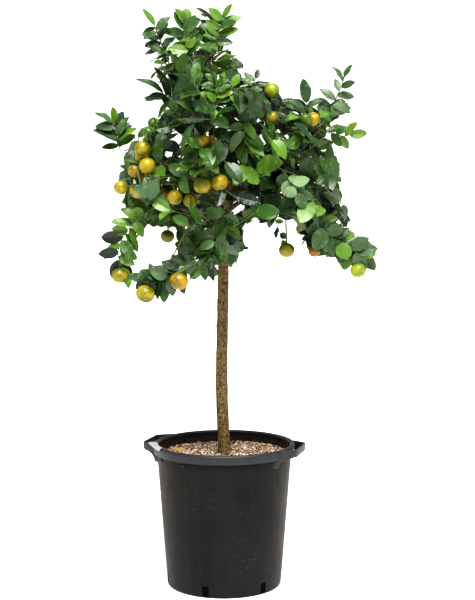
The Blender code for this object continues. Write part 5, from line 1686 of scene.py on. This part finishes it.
def makeTwigs(stems, leaves, rng):
    woody, green, stalks, thorns = [], [], [], []
    for mass in stems.values():
        for stem in mass:
            thick = stem["radii"][0]
            route = stem["fine"]
            radii = [thick + (twigSet["tip"] - thick) * k / (len(route) - 1) for k in range(len(route))]
            (woody if thick > 0.0018 else green).append((route, radii, 6))
            for k in range(2, len(route) - 1, 3):  # a thin thorn here and there
                if rng.random() < 0.28:
                    way, side = ringFrames(route)[k]
                    turn = rng.uniform(0, 2 * pi)
                    out = (side * cos(turn) + way.cross(side) * sin(turn) + way * 0.5).normalized()
                    thorns.append(([route[k], route[k] + out * 0.005, route[k] + out * 0.011], [0.0008, 0.0005, 0.0001], 4))
    for leaf in leaves:
        middle = leaf["foot"].lerp(leaf["root"], 0.5) - Vector((0, 0, 0.0004))
        end = leaf["root"] + leaf["heading"] * 0.002
        stalks.append(([leaf["foot"], middle, end], [0.0010, 0.00075, 0.0008], 4))
    makeTubes("woodyTwigs", woody, twigFinish("woodyTwig", (0.085, 0.075, 0.035), (0.150, 0.140, 0.060)))
    makeTubes("greenTwigs", green, twigFinish("greenTwig", (0.070, 0.120, 0.030), (0.140, 0.200, 0.055)))
    makeTubes("leafStalks", stalks, twigFinish("leafStalk", (0.130, 0.200, 0.055), (0.210, 0.290, 0.090)))
    makeTubes("thorns", thorns, twigFinish("thorn", (0.110, 0.160, 0.050), (0.180, 0.200, 0.080)))


# fruit

fruitSet = {"sides": 20, "rings": 13, "flat": 0.93, "stalk": 0.0015}
fruitTones = {
    "green": ((0.055, 0.115, 0.009), (0.100, 0.170, 0.013)),
    "lime": ((0.150, 0.215, 0.011), (0.310, 0.335, 0.020)),
    "lemon": ((0.090, 0.100, 0.005), (0.300, 0.245, 0.009)),
    "yellow": ((0.180, 0.180, 0.007), (0.430, 0.305, 0.010)),
    "golden": ((0.150, 0.120, 0.005), (0.380, 0.225, 0.006)),
    "orange": ((0.210, 0.110, 0.005), (0.400, 0.190, 0.007)),
}


def fruitFinish(name, low, high):
    made, tree, shader = startMaterial(name)
    coords = addNode(tree, "ShaderNodeTexCoord").outputs["Object"]
    blush = noiseNode(tree, coords, 42.0, 3.0, 0.55)
    colour = ramp(tree, blush, [(0.40, low), (0.58, high)])
    pores = addNode(tree, "ShaderNodeTexVoronoi", {"Scale": 620.0})
    link(tree, coords, pores.inputs["Vector"])
    pit = greyRamp(tree, pores.outputs["Distance"], [(0.10, 0.0), (0.42, 1.0)])
    colour = mixColour(tree, maths(tree, "MULTIPLY", maths(tree, "SUBTRACT", 1.0, pit), 0.35), colour, tuple(c * 0.62 for c in low))
    speck = greyRamp(tree, noiseNode(tree, coords, 300.0, 2.0, 0.5), [(0.70, 0.0), (0.76, 1.0)])
    colour = mixColour(tree, maths(tree, "MULTIPLY", speck, 0.5), colour, (0.20, 0.13, 0.05))
    link(tree, colour, shader.inputs["Base Color"])
    shader.inputs["Roughness"].default_value = 0.36
    shader.inputs["Subsurface Weight"].default_value = 0.08
    shader.inputs["Subsurface Scale"].default_value = 0.004
    addBump(tree, shader, pit, 0.35, 0.0005)
    return made


def fruitArrays(centre, radius, lean, rng):
    sides, rings = fruitSet["sides"], fruitSet["rings"]
    points = []
    for r in range(1, rings):
        polar = pi * r / rings
        for n in range(sides):
            turn = 2 * pi * n / sides
            lobes = 1 + 0.012 * cos(turn * 5 + 1) * sin(polar) + 0.01 * cos(turn * 2)
            reach = radius * sin(polar) * lobes
            dent = 0.085 * np.exp(-((polar / 0.30) ** 2)) + 0.055 * np.exp(-(((pi - polar) / 0.26) ** 2)) * -1
            points.append(Vector((reach * cos(turn), reach * sin(turn), radius * (fruitSet["flat"] * cos(polar) - dent))))
    top, bottom = len(points), len(points) + 1
    points += [Vector((0, 0, radius * (fruitSet["flat"] - 0.10))), Vector((0, 0, -radius * (fruitSet["flat"] - 0.06)))]
    faces = []
    for r in range(rings - 2):
        for n in range(sides):
            m = (n + 1) % sides
            faces.append((r * sides + n, (r + 1) * sides + n, (r + 1) * sides + m, r * sides + m))
    for n in range(sides):
        m = (n + 1) % sides
        faces.append((top, n, m))
        faces.append(((rings - 2) * sides + m, (rings - 2) * sides + n, bottom))
    return [centre + lean @ p for p in points], faces


def growFruit(stems, wood):
    grown = []
    for name, plan in massSet.items():
        for x, y, z, radius, tone in plan["fruit"]:
            centre = Vector((x, y, z))
            crown = centre + Vector((0, 0, radius * 0.8))
            foot = footFor(stems[name], crown + Vector((0, 0, radius)))[0]
            stalk = archRoute(foot, crown - foot, crown, -0.6, 6)
            lean = Vector((0, 0, 1)).rotation_difference((stalk[-2] - stalk[-1]).normalized())
            lean = lean.slerp(Matrix.Identity(3).to_quaternion(), 0.5)
            grown.append((centre, radius, tone, stalk, lean))
            wood.add(centre, radius + 0.001)
    return grown


def makeFruit(grown, rng):
    points, faces, indexes = [], [], []
    tones = list(fruitTones)
    stalks, caps = [], ([], [])
    for centre, radius, tone, stalk, lean in grown:
        p, f = fruitArrays(centre, radius, lean, rng)
        faces += [tuple(i + len(points) for i in face) for face in f]
        points += p
        indexes += [tones.index(tone)] * len(f)
        crown = centre + lean @ Vector((0, 0, radius * 0.86))
        route = stalk[:-1] + [crown]
        stalks.append((route, [fruitSet["stalk"] * (1 + 0.4 * k / 6) for k in range(len(route))], 6))
        start = len(caps[0])  # the green star that holds it, of five short lobes
        caps[0].append(centre + lean @ Vector((0, 0, radius * 0.89)))
        for n in range(10):
            reach = radius * (0.24 if n % 2 == 0 else 0.13)
            turn = pi * n / 5
            caps[0].append(centre + lean @ Vector((reach * cos(turn), reach * sin(turn), radius * (0.875 if n % 2 == 0 else 0.87))))
        caps[0].append(centre + lean @ Vector((0, 0, radius * 0.80)))
        for n in range(10):
            rim = start + 1 + n, start + 1 + (n + 1) % 10
            caps[1].extend([(start, *rim), (start + 11, rim[1], rim[0])])
    finishes = [fruitFinish(t + "Fruit", *fruitTones[t]) for t in tones]
    fruit = meshFromArrays("fruit", points, faces, finishes, indexes)
    finishPiece(fruit)
    star = meshFromArrays("fruitStars", caps[0], caps[1], [twigFinish("fruitStar", (0.05, 0.09, 0.02), (0.10, 0.15, 0.035))])
    finishPiece(star)
    makeTubes("fruitStalks", stalks, twigFinish("fruitStalk", (0.07, 0.12, 0.03), (0.13, 0.18, 0.05)))
    print("fruit:", len(grown))


def trimStems(stems, leaves, fruit):  # a twig ends where its last leaf, side twig or fruit stands
    used = [leaf["foot"] for leaf in leaves] + [stalk[0] for *_, stalk, lean in fruit]
    used += [stem["route"][0] for grown in stems.values() for stem in grown]
    used = treeOf(used)
    for mass in stems:
        kept = []
        for stem in stems[mass]:
            fine = stem["fine"]
            near = 0.002 + 0.55 * max((b - a).length for a, b in zip(fine, fine[1:]))
            last = max([k for k in range(1, len(fine)) if used.find(fine[k])[2] < near], default=0)
            if "spray" not in stem and last < len(fine) - 1:
                stem["fine"] = fine[: last + 2]
            if last or "spray" in stem:
                kept.append(stem)
        stems[mass] = kept


def growCrown(limbs):
    wood = Room(0.030)
    for name, (route, radii) in limbs.items():
        fine = curveThrough(route, 5)
        for k, p in enumerate(fine):
            wood.add(p, np.interp(k / (len(fine) - 1), [0, 1], [radii[0], radii[-1]]))
    stems = {name: growShoots(plan, limbs[plan["bough"]]) for name, plan in massSet.items()}
    marks = {}
    for name, grown in stems.items():
        pairs = [pair for stem in grown for pair in zip(stem["route"], stem["route"][1:])]
        marks[name] = [a.lerp(b, t) for a, b in pairs for t in (0, 0.5, 1)]
    spaces = {}
    for name in massSet:
        others = [p for other, points in marks.items() if other != name for p in points]
        spaces[name] = (treeOf(marks[name]), treeOf(others))
    rngs = {name: Random(plan["seed"]) for name, plan in massSet.items()}
    for name, plan in massSet.items():
        growTwigs(plan, stems[name], spaces[name], wood, rngs[name])
    fruit = growFruit(stems, wood)
    leafRoom = Room(0.012)
    shownFruit = []
    for centre, radius, tone, *_ in fruit:
        if centre.y < 0.02 and tone != "orange":
            share = -crownSet["eye"].y / (centre.y - crownSet["eye"].y)
            eye = crownSet["eye"]
            x, z = eye.x + (centre.x - eye.x) * share, eye.z + (centre.z - eye.z) * share
            shownFruit.append((x, z, centre.y, radius * share * 0.86))
    leaves = setSprays(stems, leafRoom, Random(4))
    for name in massSet:
        leaves += growLeaves(massSet[name], stems[name], spaces[name], (leafRoom, wood), rngs[name], tintAndDepthShadeFor, shownFruit)
    leaves += fillBare(stems, leaves, fruit, (leafRoom, wood), tintAndDepthShadeFor, shownFruit)
    trimStems(stems, leaves, fruit)
    print("crown:", sum(len(s) for s in stems.values()), "twigs,", len(leaves), "leaves")
    return stems, leaves, fruit


addCamera()
addStage()
plastic = potFinish("potPlastic", (0.0078, 0.0080, 0.0088), 0.17, 0.03, 0.85)
# painted sheen: the lip and grips get a paler blue-grey base than the wall; they also carry less dust and a higher
# gloss
lipPlastic = potFinish("potLip", (0.0135, 0.0155, 0.0180), 0.50, 0.03, 0.35)
makePot([plastic, lipPlastic, potFinish("potInside", (0.030, 0.028, 0.026), 0.20, 0.03, 1.0)])
makeRibs(plastic)
makeHandles(lipPlastic)
makeStrip()
print("pot made")
makeGravel()
limbs = layLimbs()
makeLimbs(limbs)
stems, leaves, fruit = growCrown(limbs)
makeLeaves(leaves)
makeTwigs(stems, leaves, Random(7))
makeFruit(fruit, Random(8))
